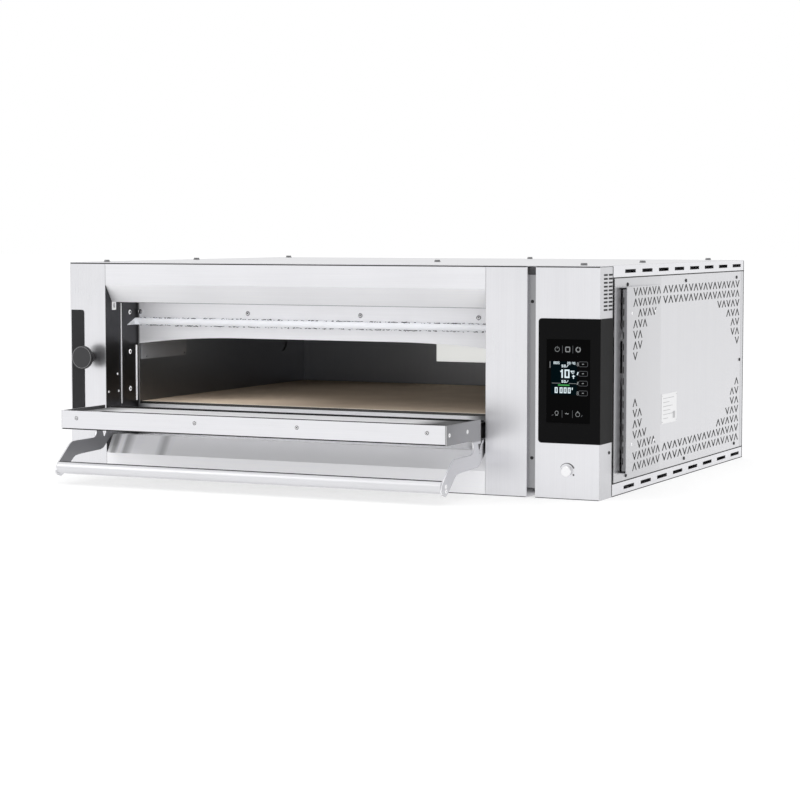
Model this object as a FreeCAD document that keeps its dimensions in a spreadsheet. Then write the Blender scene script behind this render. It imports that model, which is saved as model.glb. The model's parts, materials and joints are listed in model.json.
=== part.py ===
import FreeCAD
import Part

import math
import os

import Sketcher
from FreeCAD import Placement, Rotation, Vector

# A single-deck electric oven: stainless casing, glazed drop-down door, stone-floored chamber on the
# left, electrical compartment and control column on the right, and a steam damper worked by a pull knob.
# The origin is the centre of the casing's footprint. The front faces -Y and the control column is at +X.
# Lengths are in millimetres. Across is measured from the casing's left side, back from its front plane.

DIMENSIONS = {
    "width": 1066, "depth": 830, "height": 400, "gauge": 1.5,
    "postWidth": 77.6, "recessWidth": 777.4, "gapWidth": 15.4, "gapBack": 8,
    "railHeight": 21.8, "railStart": 62, "sideReturn": 61, "postReturn": 52.7, "seam": 0.7, "joint": 0.4,
    "fasciaFold": 41.6, "fasciaTip": 75, "fasciaBack": 22.5, "ledgeBack": 42, "floorUp": 60,
    "headerUp": 345, "jambStep": 2.1, "mouthBack": 110, "mouthLip": 2.5, "frameFoot": 20,
    "archTop": 257, "archDrop": 14, "archSide": 218, "sillUp": 127,
    "ropeRadius": 7.25, "ropeBack": 105, "ropeUp": 286,
    "chamberTop": 300, "chamberFloor": 74, "chamberBack": 790,
    "stoneTop": 132, "stoneThick": 18, "stoneFront": 118, "stoneGap": 0.6,
    "heaterRadius": 4.25, "heaterPitch": 130, "heaterBend": 25,
    "hingeBack": 59.25, "hingeUp": 87.75, "pinRadius": 6, "hingeBoss": 12, "runFit": 0.05,
    "doorReach": 156.5, "doorBottom": 99, "doorRim": 133, "doorPane": 126, "doorHeel": 20,
    "armThick": 3, "barRadius": 11, "barReach": 167, "barUp": 30,
    "trimBottom": 96, "trimTop": 310, "trimThick": 1.2,
    "knobAcross": 45, "knobUp": 222, "knobRadius": 22, "knobLength": 33, "rodRadius": 4,
    "damperStroke": 40, "portBack": 690, "portRadius": 22,
    "windowLeft": 969, "windowWidth": 79.5, "windowBottom": 131, "windowTop": 274.7,
    "dialAcross": 1007, "dialUp": 48.6, "dialRadius": 9.3,
    "scoopFront": 100, "scoopBack": 318, "scoopOut": 12, "scoopBottom": 37, "scoopTop": 362,
    "louvrePitch": 29.66, "louvreRow": 18.8, "louvreTopRow": 352.7, "louvreBottomRow": 45.3,
    "partition": 895, "fanAcross": 985, "fanUp": 200, "fanRadius": 56, "fanDepth": 38,
    "glandAcross": 1010, "glandUp": 60, "glandBore": 6.5,
    "boltSpacingX": 900, "boltSpacingY": 600, "boltRadius": 5.5,
}

doc = FreeCAD.newDocument("deck_oven")
sheet = doc.addObject("Spreadsheet::Sheet", "Dims")
for row, (alias, number) in enumerate(DIMENSIONS.items(), start=1):
    sheet.set(f"A{row}", alias)
    sheet.set(f"B{row}", str(number))
    sheet.setAlias(f"B{row}", alias)
doc.recompute()

NODES = {}


class Size:
    """A length: its value in millimetres and the sheet expression that gives it."""

    def __init__(self, value, text):
        self.value = value
        self.text = text

    def __float__(self):
        return float(self.value)

    def __neg__(self):
        return Size(-self.value, f"(-{self.text})")

    def __add__(self, other):
        other = size(other)
        return Size(self.value + other.value, f"({self.text} + {other.text})")

    def __sub__(self, other):
        other = size(other)
        return Size(self.value - other.value, f"({self.text} - {other.text})")

    def __mul__(self, other):
        other = size(other)
        return Size(self.value * other.value, f"({self.text} * {other.text})")

    def __truediv__(self, other):
        other = size(other)
        return Size(self.value / other.value, f"({self.text} / {other.text})")

    def __radd__(self, other):
        return size(other) + self

    def __rsub__(self, other):
        return size(other) - self

    def __rmul__(self, other):
        return size(other) * self


def size(length):
    """Turns a plain number into a Size."""
    return length if isinstance(length, Size) else Size(float(length), f"({float(length)})")


def cell(alias):
    """The sheet's value under this alias."""
    return Size(float(sheet.get(alias)), f"Dims.{alias}")


def across(x):
    """A place measured from the casing's left side."""
    return x - WIDTH / 2


def back(y):
    """A place measured from the casing's front plane."""
    return y - DEPTH / 2


WIDTH, DEPTH, HEIGHT, GAUGE = cell("width"), cell("depth"), cell("height"), cell("gauge")
RECESS_LEFT = cell("postWidth")
RECESS_RIGHT = RECESS_LEFT + cell("recessWidth")
GAP_LEFT = RECESS_RIGHT + cell("postWidth")
COLUMN_LEFT = GAP_LEFT + cell("gapWidth")
JAMB_LEFT = RECESS_LEFT + cell("jambStep")
JAMB_RIGHT = RECESS_RIGHT - cell("jambStep")
MOUTH_LEFT = JAMB_LEFT + cell("mouthLip")
MOUTH_RIGHT = JAMB_RIGHT - cell("mouthLip")
CHAMBER_FRONT = cell("mouthBack") + GAUGE
SKIN_TOP = HEIGHT - GAUGE
FRONT_TOP = SKIN_TOP - 2 * cell("joint")


# ---------- building blocks ----------

def node(label, piece):
    """Registers a finished sub-part under the name of its file."""
    piece.Label = label
    NODES[label] = piece
    return piece


def bind(piece, **lengths):
    for prop, length in lengths.items():
        piece.setExpression(prop, size(length).text)
    return piece


def place(piece, x, y, z):
    for axis, length in zip("xyz", (x, y, z)):
        piece.setExpression(f"Placement.Base.{axis}", size(length).text)
    return piece


def box(x, y, z, long, wide, high):
    """A Part::Box with its low corner at across x, back y, up z."""
    piece = doc.addObject("Part::Box", "Block")
    bind(piece, Length=long, Width=wide, Height=high)
    return place(piece, across(x), back(y), z)


def span(x, y, z):
    """A Part::Box given by its low and high limits on each axis."""
    return box(x[0], y[0], z[0], size(x[1]) - x[0], size(y[1]) - y[0], size(z[1]) - z[0])


TURNS = {"X": Rotation(Vector(0, 1, 0), 90), "Y": Rotation(Vector(1, 0, 0), -90), "Z": Rotation()}


def cylinder(axis, x, y, z, radius, length):
    """A Part::Cylinder that starts at (x, y, z) and runs along the positive axis."""
    piece = doc.addObject("Part::Cylinder", "Round")
    bind(piece, Radius=radius, Height=length)
    piece.Placement = Placement(Vector(), TURNS[axis])
    return place(piece, across(x), back(y), z)


def cut(piece, *tools):
    result = doc.addObject("Part::Cut", "Cut")
    result.Base = piece
    result.Tool = tools[0] if len(tools) == 1 else group(*tools)
    return result


def fuse(*pieces):
    result = doc.addObject("Part::MultiFuse", "Fusion")
    result.Shapes = list(pieces)
    result.Refine = True
    return result


def group(*pieces):
    """Separate solids that share one node."""
    result = doc.addObject("Part::Compound", "Group")
    result.Links = list(pieces)
    return result


def origin_plane(body, plane):
    return next(f for f in body.Origin.OriginFeatures if f.Role == f"{plane}_Plane")


def new_sketch(body, plane):
    sketch = body.newObject("Sketcher::SketchObject", "Outline")
    sketch.AttachmentSupport = [(origin_plane(body, plane), "")]
    sketch.MapMode = "FlatFace"
    return sketch


def constrain(sketch, kind, length, *target):
    index = sketch.addConstraint(Sketcher.Constraint(kind, *target, float(length)))
    sketch.setExpression(f"Constraints[{index}]", size(length).text)


def arc_middle(start, end, radius):
    """The middle of the arc that bulges to the right of the way from start to end."""
    chord = end - start
    half = chord.Length / 2
    rise = radius - math.sqrt(max(radius * radius - half * half, 0))
    aside = Vector(chord.y, -chord.x, 0).normalize()
    return (start + end) / 2 + aside * rise


def draw(body, plane, corners, arcs=None):
    """A closed outline with its corners held to the sheet; arcs maps a side's number to its radius."""
    sketch = new_sketch(body, plane)
    points = [Vector(float(a), float(b), 0) for a, b in corners]
    count = len(points)
    for i in range(count):
        start, end = points[i], points[(i + 1) % count]
        if arcs and i in arcs:
            middle = arc_middle(start, end, float(arcs[i]))
            sketch.addGeometry(Part.Arc(start, middle, end))
        else:
            sketch.addGeometry(Part.LineSegment(start, end))
    ends = [arc_ends(sketch, i, points[i]) for i in range(count)]
    for i in range(count):
        following = (i + 1) % count
        sketch.addConstraint(Sketcher.Constraint("Coincident", i, ends[i][1], following, ends[following][0]))
    for i, (a, b) in enumerate(corners):
        constrain(sketch, "DistanceX", a, -1, 1, i, ends[i][0])
        constrain(sketch, "DistanceY", b, -1, 1, i, ends[i][0])
    for i, radius in (arcs or {}).items():
        constrain(sketch, "Radius", radius, i)
    return sketch


def arc_ends(sketch, side, start):
    """Which end of this side lies at start: an arc may run the other way round."""
    at_first = sketch.getPoint(side, 1).distanceToPoint(start) < 1e-6
    return (1, 2) if at_first else (2, 1)


def draw_circles(body, plane, circles):
    """Round outlines, each given by its centre and radius."""
    sketch = new_sketch(body, plane)
    for i, (a, b, radius) in enumerate(circles):
        sketch.addGeometry(Part.Circle(Vector(float(a), float(b), 0), Vector(0, 0, 1), float(radius)))
        constrain(sketch, "DistanceX", a, -1, 1, i, 3)
        constrain(sketch, "DistanceY", b, -1, 1, i, 3)
        constrain(sketch, "Radius", radius, i)
    return sketch


def rectangle(low, high):
    return [(low[0], low[1]), (high[0], low[1]), (high[0], high[1]), (low[0], high[1])]


def pad(body, sketch, length):
    """Pads towards the positive axis: an outline on the XZ plane would grow towards -Y by itself."""
    feature = body.newObject("PartDesign::Pad", "Pad")
    feature.Profile = sketch
    bind(feature, Length=length)
    feature.Reversed = sketch.AttachmentSupport[0][0].Role == "XZ_Plane"
    return feature


def pocket(body, sketch):
    """Cuts the outline right through the body, both ways from its plane."""
    doc.recompute()
    before = body.Shape.Volume
    feature = body.newObject("PartDesign::Pocket", "Pocket")
    feature.Profile = sketch
    feature.Type = "ThroughAll"
    feature.SideType = "Symmetric"
    doc.recompute()
    if body.Shape.Volume >= before:
        raise RuntimeError(f"the pocket in {body.Label} cuts nothing")
    return feature


def repeat(body, feature, sketch, edge, length, count):
    """Repeats a feature in a row along the sketch's H_Axis or V_Axis."""
    pattern = body.newObject("PartDesign::LinearPattern", "Row")
    pattern.Originals = [feature]
    pattern.Direction = (sketch, [edge])
    bind(pattern, Length=length)
    pattern.Occurrences = count
    body.Tip = pattern
    return pattern


def extrusion(label, plane, start, corners, length, arcs=None):
    """A body padded from one outline, along Z, Y or X for the XY, XZ or YZ plane."""
    body = doc.addObject("PartDesign::Body", label)
    pad(body, draw(body, plane, corners, arcs), length)
    offsets = {"XY": (0, 0, start), "XZ": (0, start, 0), "YZ": (start, 0, 0)}
    place(body, *offsets[plane])
    return body


def on_xy(points):
    return [(across(x), back(y)) for x, y in points]


def on_xz(points):
    return [(across(x), z) for x, z in points]


def on_yz(points):
    return [(back(y), z) for y, z in points]


def revolved(label, axis_turn, profile, x, y, z):
    """A body revolved about its own Z axis from (radius, height) corners, then turned and placed."""
    body = doc.addObject("PartDesign::Body", label)
    sketch = draw(body, "XZ", profile)
    turn = body.newObject("PartDesign::Revolution", "Revolution")
    turn.Profile = sketch
    turn.ReferenceAxis = (sketch, ["V_Axis"])
    turn.Angle = 360
    body.Placement = Placement(Vector(), axis_turn)
    return place(body, across(x), back(y), z)


def head(axis, sense, x, y, z, radius=3.4, rise=1.6):
    """A fastener's head: a low cylinder that stands out of a surface along plus or minus the axis."""
    shift = -rise if sense < 0 else 0
    offset = {"X": (shift, 0, 0), "Y": (0, shift, 0), "Z": (0, 0, shift)}[axis]
    return cylinder(axis, x + offset[0], y + offset[1], z + offset[2], radius, rise)


# ---------- outer casing ----------

def slotted_tray(label, skin, rim, tongue):
    """A U-shaped tray from back railStart to the rear skin, with a row of slots in both side flanges
    and a flat tongue that reaches forward from its skin. tongue is (left, right, front)."""
    upward = float(rim) > float(skin)
    inner = skin + GAUGE if upward else skin - GAUGE
    start = cell("railStart")
    profile = on_xz([(0, skin), (WIDTH, skin), (WIDTH, rim), (WIDTH - GAUGE, rim),
                     (WIDTH - GAUGE, inner), (GAUGE, inner), (GAUGE, rim), (0, rim)])
    body = extrusion(label, "XZ", back(start), profile, DEPTH - GAUGE - start)
    middle = (skin + rim) / 2
    slot_long, slot_high, slot_first, slot_pitch, slots = 55, 6, 60, 90, 8
    low, high = middle - slot_high / 2, middle + slot_high / 2
    slot = draw(body, "YZ", rectangle((size(slot_first), low), (size(slot_first + slot_long), high)))
    repeat(body, pocket(body, slot), slot, "H_Axis", (slots - 1) * slot_pitch, slots)
    left, right, front = tongue
    bottom = min((skin, inner), key=float)
    return fuse(body, span((left, right), (front, start), (bottom, bottom + GAUGE)))


def base_pan():
    tray = slotted_tray("pan_tray", size(0), cell("railHeight"), (RECESS_LEFT, RECESS_RIGHT, 2))
    bolts = [cylinder("Z", WIDTH / 2 + sx * cell("boltSpacingX") / 2, DEPTH / 2 + sy * cell("boltSpacingY") / 2,
                      -1, cell("boltRadius"), 6) for sx in (-1, 1) for sy in (-1, 1)]
    node("base_pan", cut(tray, *bolts))


def top_cover():
    node("top_cover", slotted_tray("cover_tray", HEIGHT, HEIGHT - cell("railHeight"), (0, WIDTH, 0)))


def side_limits():
    """The band between the slotted rails that both side panels fill."""
    return cell("railHeight") + cell("seam"), HEIGHT - cell("railHeight") - cell("seam")


REAR_FLANGE = 20


def left_side_panel():
    low, high = side_limits()
    node("left_side_panel", span((0, GAUGE), (70, DEPTH - REAR_FLANGE - cell("seam")), (low, high)))


LOUVRE_LEGS = ((1.2, 6.4), (13, -6.4), (9.4, -6.4), (0, 3.6), (-9.4, -6.4), (-13, -6.4), (-1.2, 6.4))


def louvre(y, z, upright):
    """One chevron lance as a flat outline: a wide V, or the same turned over."""
    sign = 1 if upright else -1
    return [Vector(0, y + a, z + b * sign) for a, b in LOUVRE_LEGS]


def louvre_places():
    """Back, up and orientation of every chevron: two full rows at the top and the bottom,
    then rows that shorten towards the middle at both ends."""
    pitch, row = float(cell("louvrePitch")), float(cell("louvreRow"))
    ramp_start, ramp_count, flat_start, flat_count = 152, 6, 341, 16
    near_rows = [range(6), range(6), range(1, 5), range(3), range(2), range(2), range(1)]
    far_rows = [range(16), range(16), range(11, 16), range(13, 16), range(14, 16), range(14, 16), range(15, 16)]
    for top in (True, False):
        first = float(cell("louvreTopRow" if top else "louvreBottomRow"))
        step = -row if top else row
        for r in range(len(near_rows)):
            for start, columns, shift in ((ramp_start, near_rows[r], 0), (flat_start, far_rows[r], 1)):
                for c in columns:
                    upright = (r + c + shift) % 2 == 1
                    yield start + c * pitch, first + r * step, upright == top


def right_side_panel():
    """The service panel: flat, with a flared scoop at its front and punched chevron vents."""
    low, high = side_limits()
    front, rear, out = cell("scoopFront"), cell("scoopBack"), cell("scoopOut")
    plate = span((WIDTH - GAUGE, WIDTH), (70, DEPTH - REAR_FLANGE - cell("seam")), (low, high))
    opening = span((WIDTH - 2 * GAUGE, WIDTH + GAUGE), (front, rear), (cell("scoopBottom"), cell("scoopTop")))
    flap = extrusion("scoop_flap", "XY", cell("scoopBottom"),
                     on_xy([(WIDTH - GAUGE, rear), (WIDTH + out - GAUGE, front), (WIDTH + out, front),
                            (WIDTH, rear)]),
                     cell("scoopTop") - cell("scoopBottom"))
    cheek_outline = on_xy([(WIDTH - GAUGE, front), (WIDTH + out, front), (WIDTH, rear), (WIDTH - GAUGE, rear)])
    cheeks = [extrusion("scoop_cheek", "XY", z, cheek_outline, GAUGE)
              for z in (cell("scoopBottom"), cell("scoopTop") - GAUGE)]
    blank = fuse(cut(plate, opening), flap, *cheeks)
    punch = doc.addObject("Part::Feature", "LouvrePunch")
    faces = []
    for y, z, upright in louvre_places():
        outline = Part.makePolygon(louvre(y, z, upright) + [louvre(y, z, upright)[0]])
        faces.append(Part.Face(outline).extrude(Vector(25, 0, 0)))
    punch.Shape = Part.makeCompound(faces)
    punch.Placement = Placement(Vector(float(across(WIDTH)) - 5, float(back(0)), 0), Rotation())
    node("right_side_panel", cut(blank, punch))


def rear_panel():
    """The rear skin with the fan's grille, a vent field and holes for the gland and flue, and the
    flanges that it is screwed to at both sides."""
    low, high = side_limits()
    skin = span((0, WIDTH), (DEPTH - GAUGE, DEPTH), (GAUGE, SKIN_TOP))
    node("rear_flanges", group(*[span(x, (DEPTH - REAR_FLANGE, DEPTH - GAUGE), (low, high))
                                 for x in ((0, GAUGE), (WIDTH - GAUGE, WIDTH))]))
    reach = DEPTH - 4 * GAUGE
    holes = [cylinder("Y", cell("glandAcross"), reach, cell("glandUp"), 10.1, 10),
             cylinder("Y", cell("knobAcross"), reach, cell("knobUp"), 20, 10)]
    slot_count, slot_pitch, slot_high = 9, 11, 5
    for i in range(slot_count):
        rise = (i - (slot_count - 1) / 2) * slot_pitch
        half = math.sqrt(52 ** 2 - rise ** 2)
        z = cell("fanUp") + rise - slot_high / 2
        for side in (-1, 1):
            x = cell("fanAcross") + (4 if side > 0 else -half)
            holes.append(box(x, reach, z, half - 4, 10, slot_high))
    for column in range(4):
        for level in range(5):
            holes.append(box(220 + 160 * column, reach, 330 + 9 * level, 110, 10, 4))
    node("rear_panel", cut(skin, *holes))


def posts():
    """Front corner posts: folded channels that frame the door recess."""
    ret, width = cell("postReturn"), cell("postWidth")
    left = extrusion("left_post_channel", "XY", size(0), on_xy([
        (0, 0), (width, 0), (width, ret), (width - GAUGE, ret), (width - GAUGE, GAUGE), (GAUGE, GAUGE),
        (GAUGE, cell("sideReturn")), (0, cell("sideReturn"))]), FRONT_TOP)
    hinge_notch = (44, 56)
    notch_up = (62, 100.2)
    rod_hole = cylinder("Y", cell("knobAcross"), -2, cell("knobUp"), cell("rodRadius") + cell("runFit"), 8)
    node("left_post", cut(left, span((60, 85), hinge_notch, notch_up), rod_hole))
    right_return = 40
    right = extrusion("right_post_channel", "XY", size(0), on_xy([
        (RECESS_RIGHT, 0), (GAP_LEFT, 0), (GAP_LEFT, right_return), (GAP_LEFT - GAUGE, right_return),
        (GAP_LEFT - GAUGE, GAUGE), (RECESS_RIGHT + GAUGE, GAUGE), (RECESS_RIGHT + GAUGE, ret),
        (RECESS_RIGHT, ret)]), FRONT_TOP)
    node("right_post", cut(right, span((RECESS_RIGHT - 8, RECESS_RIGHT + 18), hinge_notch, notch_up)))


def channel_strip():
    """The set-back filler between the door frame and the control column."""
    face, flange = cell("gapBack"), 30
    end_gap = 16
    body = extrusion("channel_strip", "XY", size(end_gap), on_xy([
        (GAP_LEFT, face), (COLUMN_LEFT, face), (COLUMN_LEFT, flange), (COLUMN_LEFT - GAUGE, flange),
        (COLUMN_LEFT - GAUGE, face + GAUGE), (GAP_LEFT + GAUGE, face + GAUGE), (GAP_LEFT + GAUGE, flange),
        (GAP_LEFT, flange)]), HEIGHT - 2 * end_gap)
    node("channel_strip", body)


def control_column():
    """The folded column that carries the controls, with short vent slots high on its right side."""
    column = extrusion("column_channel", "XY", size(0), on_xy([
        (COLUMN_LEFT, 0), (WIDTH, 0), (WIDTH, cell("sideReturn")), (WIDTH - GAUGE, cell("sideReturn")),
        (WIDTH - GAUGE, GAUGE), (COLUMN_LEFT + GAUGE, GAUGE), (COLUMN_LEFT + GAUGE, 40), (COLUMN_LEFT, 40)]),
        FRONT_TOP)
    left = cell("windowLeft") - 4
    window = box(left, -2, cell("windowBottom") - 4, cell("windowWidth") + 8, 8,
                 cell("windowTop") - cell("windowBottom") + 8)
    spindle = cylinder("Y", cell("dialAcross"), -2, cell("dialUp"), 4.05, 8)
    vent_rows, vent_pitch, vent_low = 10, 6.6, 323.3
    vents = [box(WIDTH - 3 * GAUGE, y, vent_low + vent_pitch * i, 10, 19, 3)
             for i in range(vent_rows) for y in (16, 40)]
    node("control_column", cut(column, window, spindle, *vents))


def round_upright_edges(body, corners, radius):
    """Fillets the body's upright edges that stand on these corners."""
    doc.recompute()
    base = body.Tip
    names = []
    for i, edge in enumerate(base.Shape.Edges, start=1):
        middle = edge.CenterOfMass
        for corner in corners:
            if (middle - corner).Length < 1e-3:
                names.append(f"Edge{i}")
    fillet = body.newObject("PartDesign::Fillet", "Corners")
    fillet.Base = (base, names)
    bind(fillet, Radius=radius)
    return fillet


def control_bezel():
    """The gloss black panel that wraps round the column's right corner, with the display's opening."""
    thick, left = cell("trimThick"), size(954)
    low, high = cell("trimBottom"), cell("trimTop")
    body = extrusion("bezel_wrap", "XY", low, on_xy([
        (left, -thick), (WIDTH + thick, -thick), (WIDTH + thick, cell("sideReturn")),
        (WIDTH, cell("sideReturn")), (WIDTH, 0), (left, 0)]), high - low)
    middle_y = float(back(-thick / 2))
    corners = [Vector(float(across(left)), middle_y, z) for z in (0, float(high - low))]
    round_upright_edges(body, corners, 6)
    window = box(cell("windowLeft"), -2 * thick, cell("windowBottom"), cell("windowWidth"), 4 * thick,
                 cell("windowTop") - cell("windowBottom"))
    node("control_bezel", cut(body, window))


def left_trim():
    """The satin black strip down the left post, level with the control panel."""
    thick = cell("trimThick")
    low, high = cell("trimBottom"), cell("trimTop")
    body = extrusion("left_trim", "XY", low,
                     on_xy([(2.5, -thick), (30, -thick), (30, 0), (2.5, 0)]), high - low)
    round_upright_edges(body, [Vector(float(across(size(30))), float(back(-thick / 2)), float(high - low))], 5)
    node("left_trim", body)


def fascias():
    """Full-width folded strips above and below the door, each leaning back towards it."""
    fold, tip, deep = cell("fasciaFold"), cell("fasciaTip"), cell("fasciaBack")
    lean = 2.7
    header, mouth = cell("headerUp"), cell("mouthBack")
    start, length = across(RECESS_LEFT + cell("joint")), cell("recessWidth") - 2 * cell("joint")
    top_fold, top_tip = HEIGHT - fold, HEIGHT - tip
    node("top_fascia", extrusion("top_fascia", "YZ", start, on_yz([
        (0, FRONT_TOP), (0, top_fold), (deep, top_tip), (deep + GAUGE, top_tip), (deep + GAUGE, header),
        (mouth, header), (mouth, header + GAUGE), (deep, header + GAUGE), (deep, top_tip + lean),
        (GAUGE, top_fold + lean / 6), (GAUGE, FRONT_TOP)]), length))
    ledge, floor = cell("ledgeBack"), cell("floorUp")
    node("bottom_fascia", extrusion("bottom_fascia", "YZ", start, on_yz([
        (0, GAUGE), (GAUGE, GAUGE), (GAUGE, fold - lean / 6), (deep + lean / 4, tip - GAUGE),
        (ledge - GAUGE, tip - GAUGE), (ledge - GAUGE, floor - GAUGE), (CHAMBER_FRONT, floor - GAUGE),
        (CHAMBER_FRONT, floor), (ledge, floor), (ledge, tip), (deep, tip), (0, fold)]), length))


# ---------- door recess and mouth ----------

def jamb(label, wall, post_face, outward):
    """A mirror-finish side liner of the recess: a small splay, then a wall back to the mouth."""
    skin, start, splay = outward * GAUGE, 52.8, 56.3
    mouth, foot = cell("mouthBack"), cell("frameFoot") * outward
    corners = [(post_face, start), (wall, splay), (wall, mouth), (wall + foot, mouth),
               (wall + foot, mouth - GAUGE), (wall + skin, mouth - GAUGE), (wall + skin, splay + 0.5),
               (post_face + skin, start)]
    if outward > 0:
        corners.reverse()
    body = extrusion(label + "_fold", "XY", cell("floorUp"), on_xy(corners),
                     cell("headerUp") - cell("floorUp"))
    edges = sorted((float(wall - outward * 4), float(wall + foot + outward * 2)))
    node(label, cut(body, span((size(edges[0]), size(edges[1])), (50, 78.2), (58, 100.2))))


def hinge_parts():
    """Blocks let into the jambs, each with the shouldered pin welded in that the door hangs on."""
    back_at, up, radius = cell("hingeBack"), cell("hingeUp"), cell("pinRadius")
    brackets, pins = [], []
    bracket_y, bracket_z, bracket_long = (44.2, 78), (62.2, 100), 15.7
    arm = cell("armThick")
    for wall, outward in ((JAMB_LEFT, -1), (JAMB_RIGHT, 1)):
        outer = wall + outward * bracket_long
        limits = (outer, wall) if outward < 0 else (wall, outer)
        block = span(limits, bracket_y, bracket_z)
        brackets.append(block)
        turn = Rotation(Vector(0, 1, 0), 90 if outward < 0 else -90)
        shoulder = bracket_long - 2 + 1 + arm + 0.2
        start = outer - outward * 2
        pins.append(revolved("hinge_pin_turned", turn, [
            (0, 0), (radius, 0), (radius, shoulder), (8.5, shoulder), (8.5, shoulder + 2.5),
            (0, shoulder + 2.5)], start, back_at, up))
    node("hinge_brackets", group(*[fuse(bracket, pin) for bracket, pin in zip(brackets, pins)]))


def mouth_frame():
    """The plate round the chamber's mouth, with a shallow arch over the opening."""
    foot, floor = cell("frameFoot"), cell("floorUp")
    outer_left, outer_right = JAMB_LEFT - foot, JAMB_RIGHT + foot
    top, spring = cell("archTop"), cell("archTop") - cell("archDrop")
    side, drop = cell("archSide"), cell("archDrop")
    bend = (side * side + drop * drop) / (2 * drop)
    plate_top = size(372)
    corners = on_xz([(outer_left, floor), (MOUTH_LEFT, floor), (MOUTH_LEFT, spring), (MOUTH_LEFT + side, top),
                     (MOUTH_RIGHT - side, top), (MOUTH_RIGHT, spring), (MOUTH_RIGHT, floor),
                     (outer_right, floor), (outer_right, plate_top), (outer_left, plate_top)])
    body = doc.addObject("PartDesign::Body", "mouth_frame")
    sketch = draw_arch(body, corners, bend)
    pad(body, sketch, GAUGE)
    place(body, 0, back(cell("mouthBack")), 0)
    node("mouth_frame", body)


def draw_arch(body, corners, bend):
    """The frame's outline: sides 2 and 4 are the arch's haunches, which curve up into the opening."""
    sketch = new_sketch(body, "XZ")
    points = [Vector(float(a), float(b), 0) for a, b in corners]
    count = len(points)
    for i in range(count):
        start, end = points[i], points[(i + 1) % count]
        if i in (2, 4):
            middle = arc_middle(end, start, float(bend))
            sketch.addGeometry(Part.Arc(start, middle, end))
        else:
            sketch.addGeometry(Part.LineSegment(start, end))
    ends = [arc_ends(sketch, i, points[i]) for i in range(count)]
    for i in range(count):
        following = (i + 1) % count
        sketch.addConstraint(Sketcher.Constraint("Coincident", i, ends[i][1], following, ends[following][0]))
    for i, (a, b) in enumerate(corners):
        constrain(sketch, "DistanceX", a, -1, 1, i, ends[i][0])
        constrain(sketch, "DistanceY", b, -1, 1, i, ends[i][0])
    for i in (2, 4):
        constrain(sketch, "Radius", bend, i)
    return sketch


def rope_gasket():
    """A woven seal across the mouth frame, pressed flat against it."""
    rope = cylinder("X", MOUTH_LEFT + 4, cell("ropeBack"), cell("ropeUp"), cell("ropeRadius"),
                    MOUTH_RIGHT - MOUTH_LEFT - 8)
    frame = span((MOUTH_LEFT, MOUTH_RIGHT), (cell("mouthBack"), cell("mouthBack") + 10), (270, 300))
    node("rope_gasket", cut(rope, frame))


def sill_plate():
    mouth, floor, up = cell("mouthBack"), cell("floorUp"), cell("sillUp")
    lip = mouth + 5
    node("sill_plate", extrusion("sill_plate", "YZ", across(MOUTH_LEFT), on_yz([
        (mouth, floor), (mouth + GAUGE, floor), (mouth + GAUGE, up - GAUGE), (lip, up - GAUGE), (lip, up),
        (mouth, up)]), MOUTH_RIGHT - MOUTH_LEFT))


# ---------- baking chamber ----------

HAIRPINS = 5
HAIRPIN_FIRST = 165


def hairpin_backs():
    return [HAIRPIN_FIRST + cell("heaterPitch") * i for i in range(HAIRPINS)]


def chamber():
    floor, top, rear = cell("chamberFloor"), cell("chamberTop"), cell("chamberBack")
    shell = extrusion("chamber_fold", "XZ", back(CHAMBER_FRONT), on_xz([
        (MOUTH_LEFT - GAUGE, floor), (MOUTH_LEFT, floor), (MOUTH_LEFT, top), (MOUTH_RIGHT, top),
        (MOUTH_RIGHT, floor), (MOUTH_RIGHT + GAUGE, floor), (MOUTH_RIGHT + GAUGE, top + GAUGE),
        (MOUTH_LEFT - GAUGE, top + GAUGE)]), rear - CHAMBER_FRONT)
    holes = [cylinder("X", MOUTH_LEFT - 5, cell("portBack"), cell("knobUp"), cell("portRadius"), 10),
             cylinder("X", MOUTH_RIGHT - 5, 450, 268, 3.1, 12)]
    for y in hairpin_backs():
        for side in (-1, 1):
            for z in (HEATER_LOW, HEATER_HIGH):
                holes.append(cylinder("X", MOUTH_RIGHT - 5, y + side * cell("heaterBend"), z,
                                      cell("heaterRadius") + 0.5, 12))
    node("chamber_shell", cut(shell, *holes))
    back_plate = span((MOUTH_LEFT - GAUGE, MOUTH_RIGHT + GAUGE), (rear, rear + GAUGE), (floor, top + GAUGE))
    pierced = cut(back_plate, span(LAMP_X, (rear - 2, rear + 4), LAMP_Z))
    floor_plate = span((MOUTH_LEFT, MOUTH_RIGHT), (CHAMBER_FRONT, rear), (floor, floor + GAUGE))
    node("chamber_back", fuse(pierced, floor_plate))


HEATER_LOW = 95
HEATER_HIGH = 286
LAMP_X = (402, 522)
LAMP_Z = (180, 238)


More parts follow.
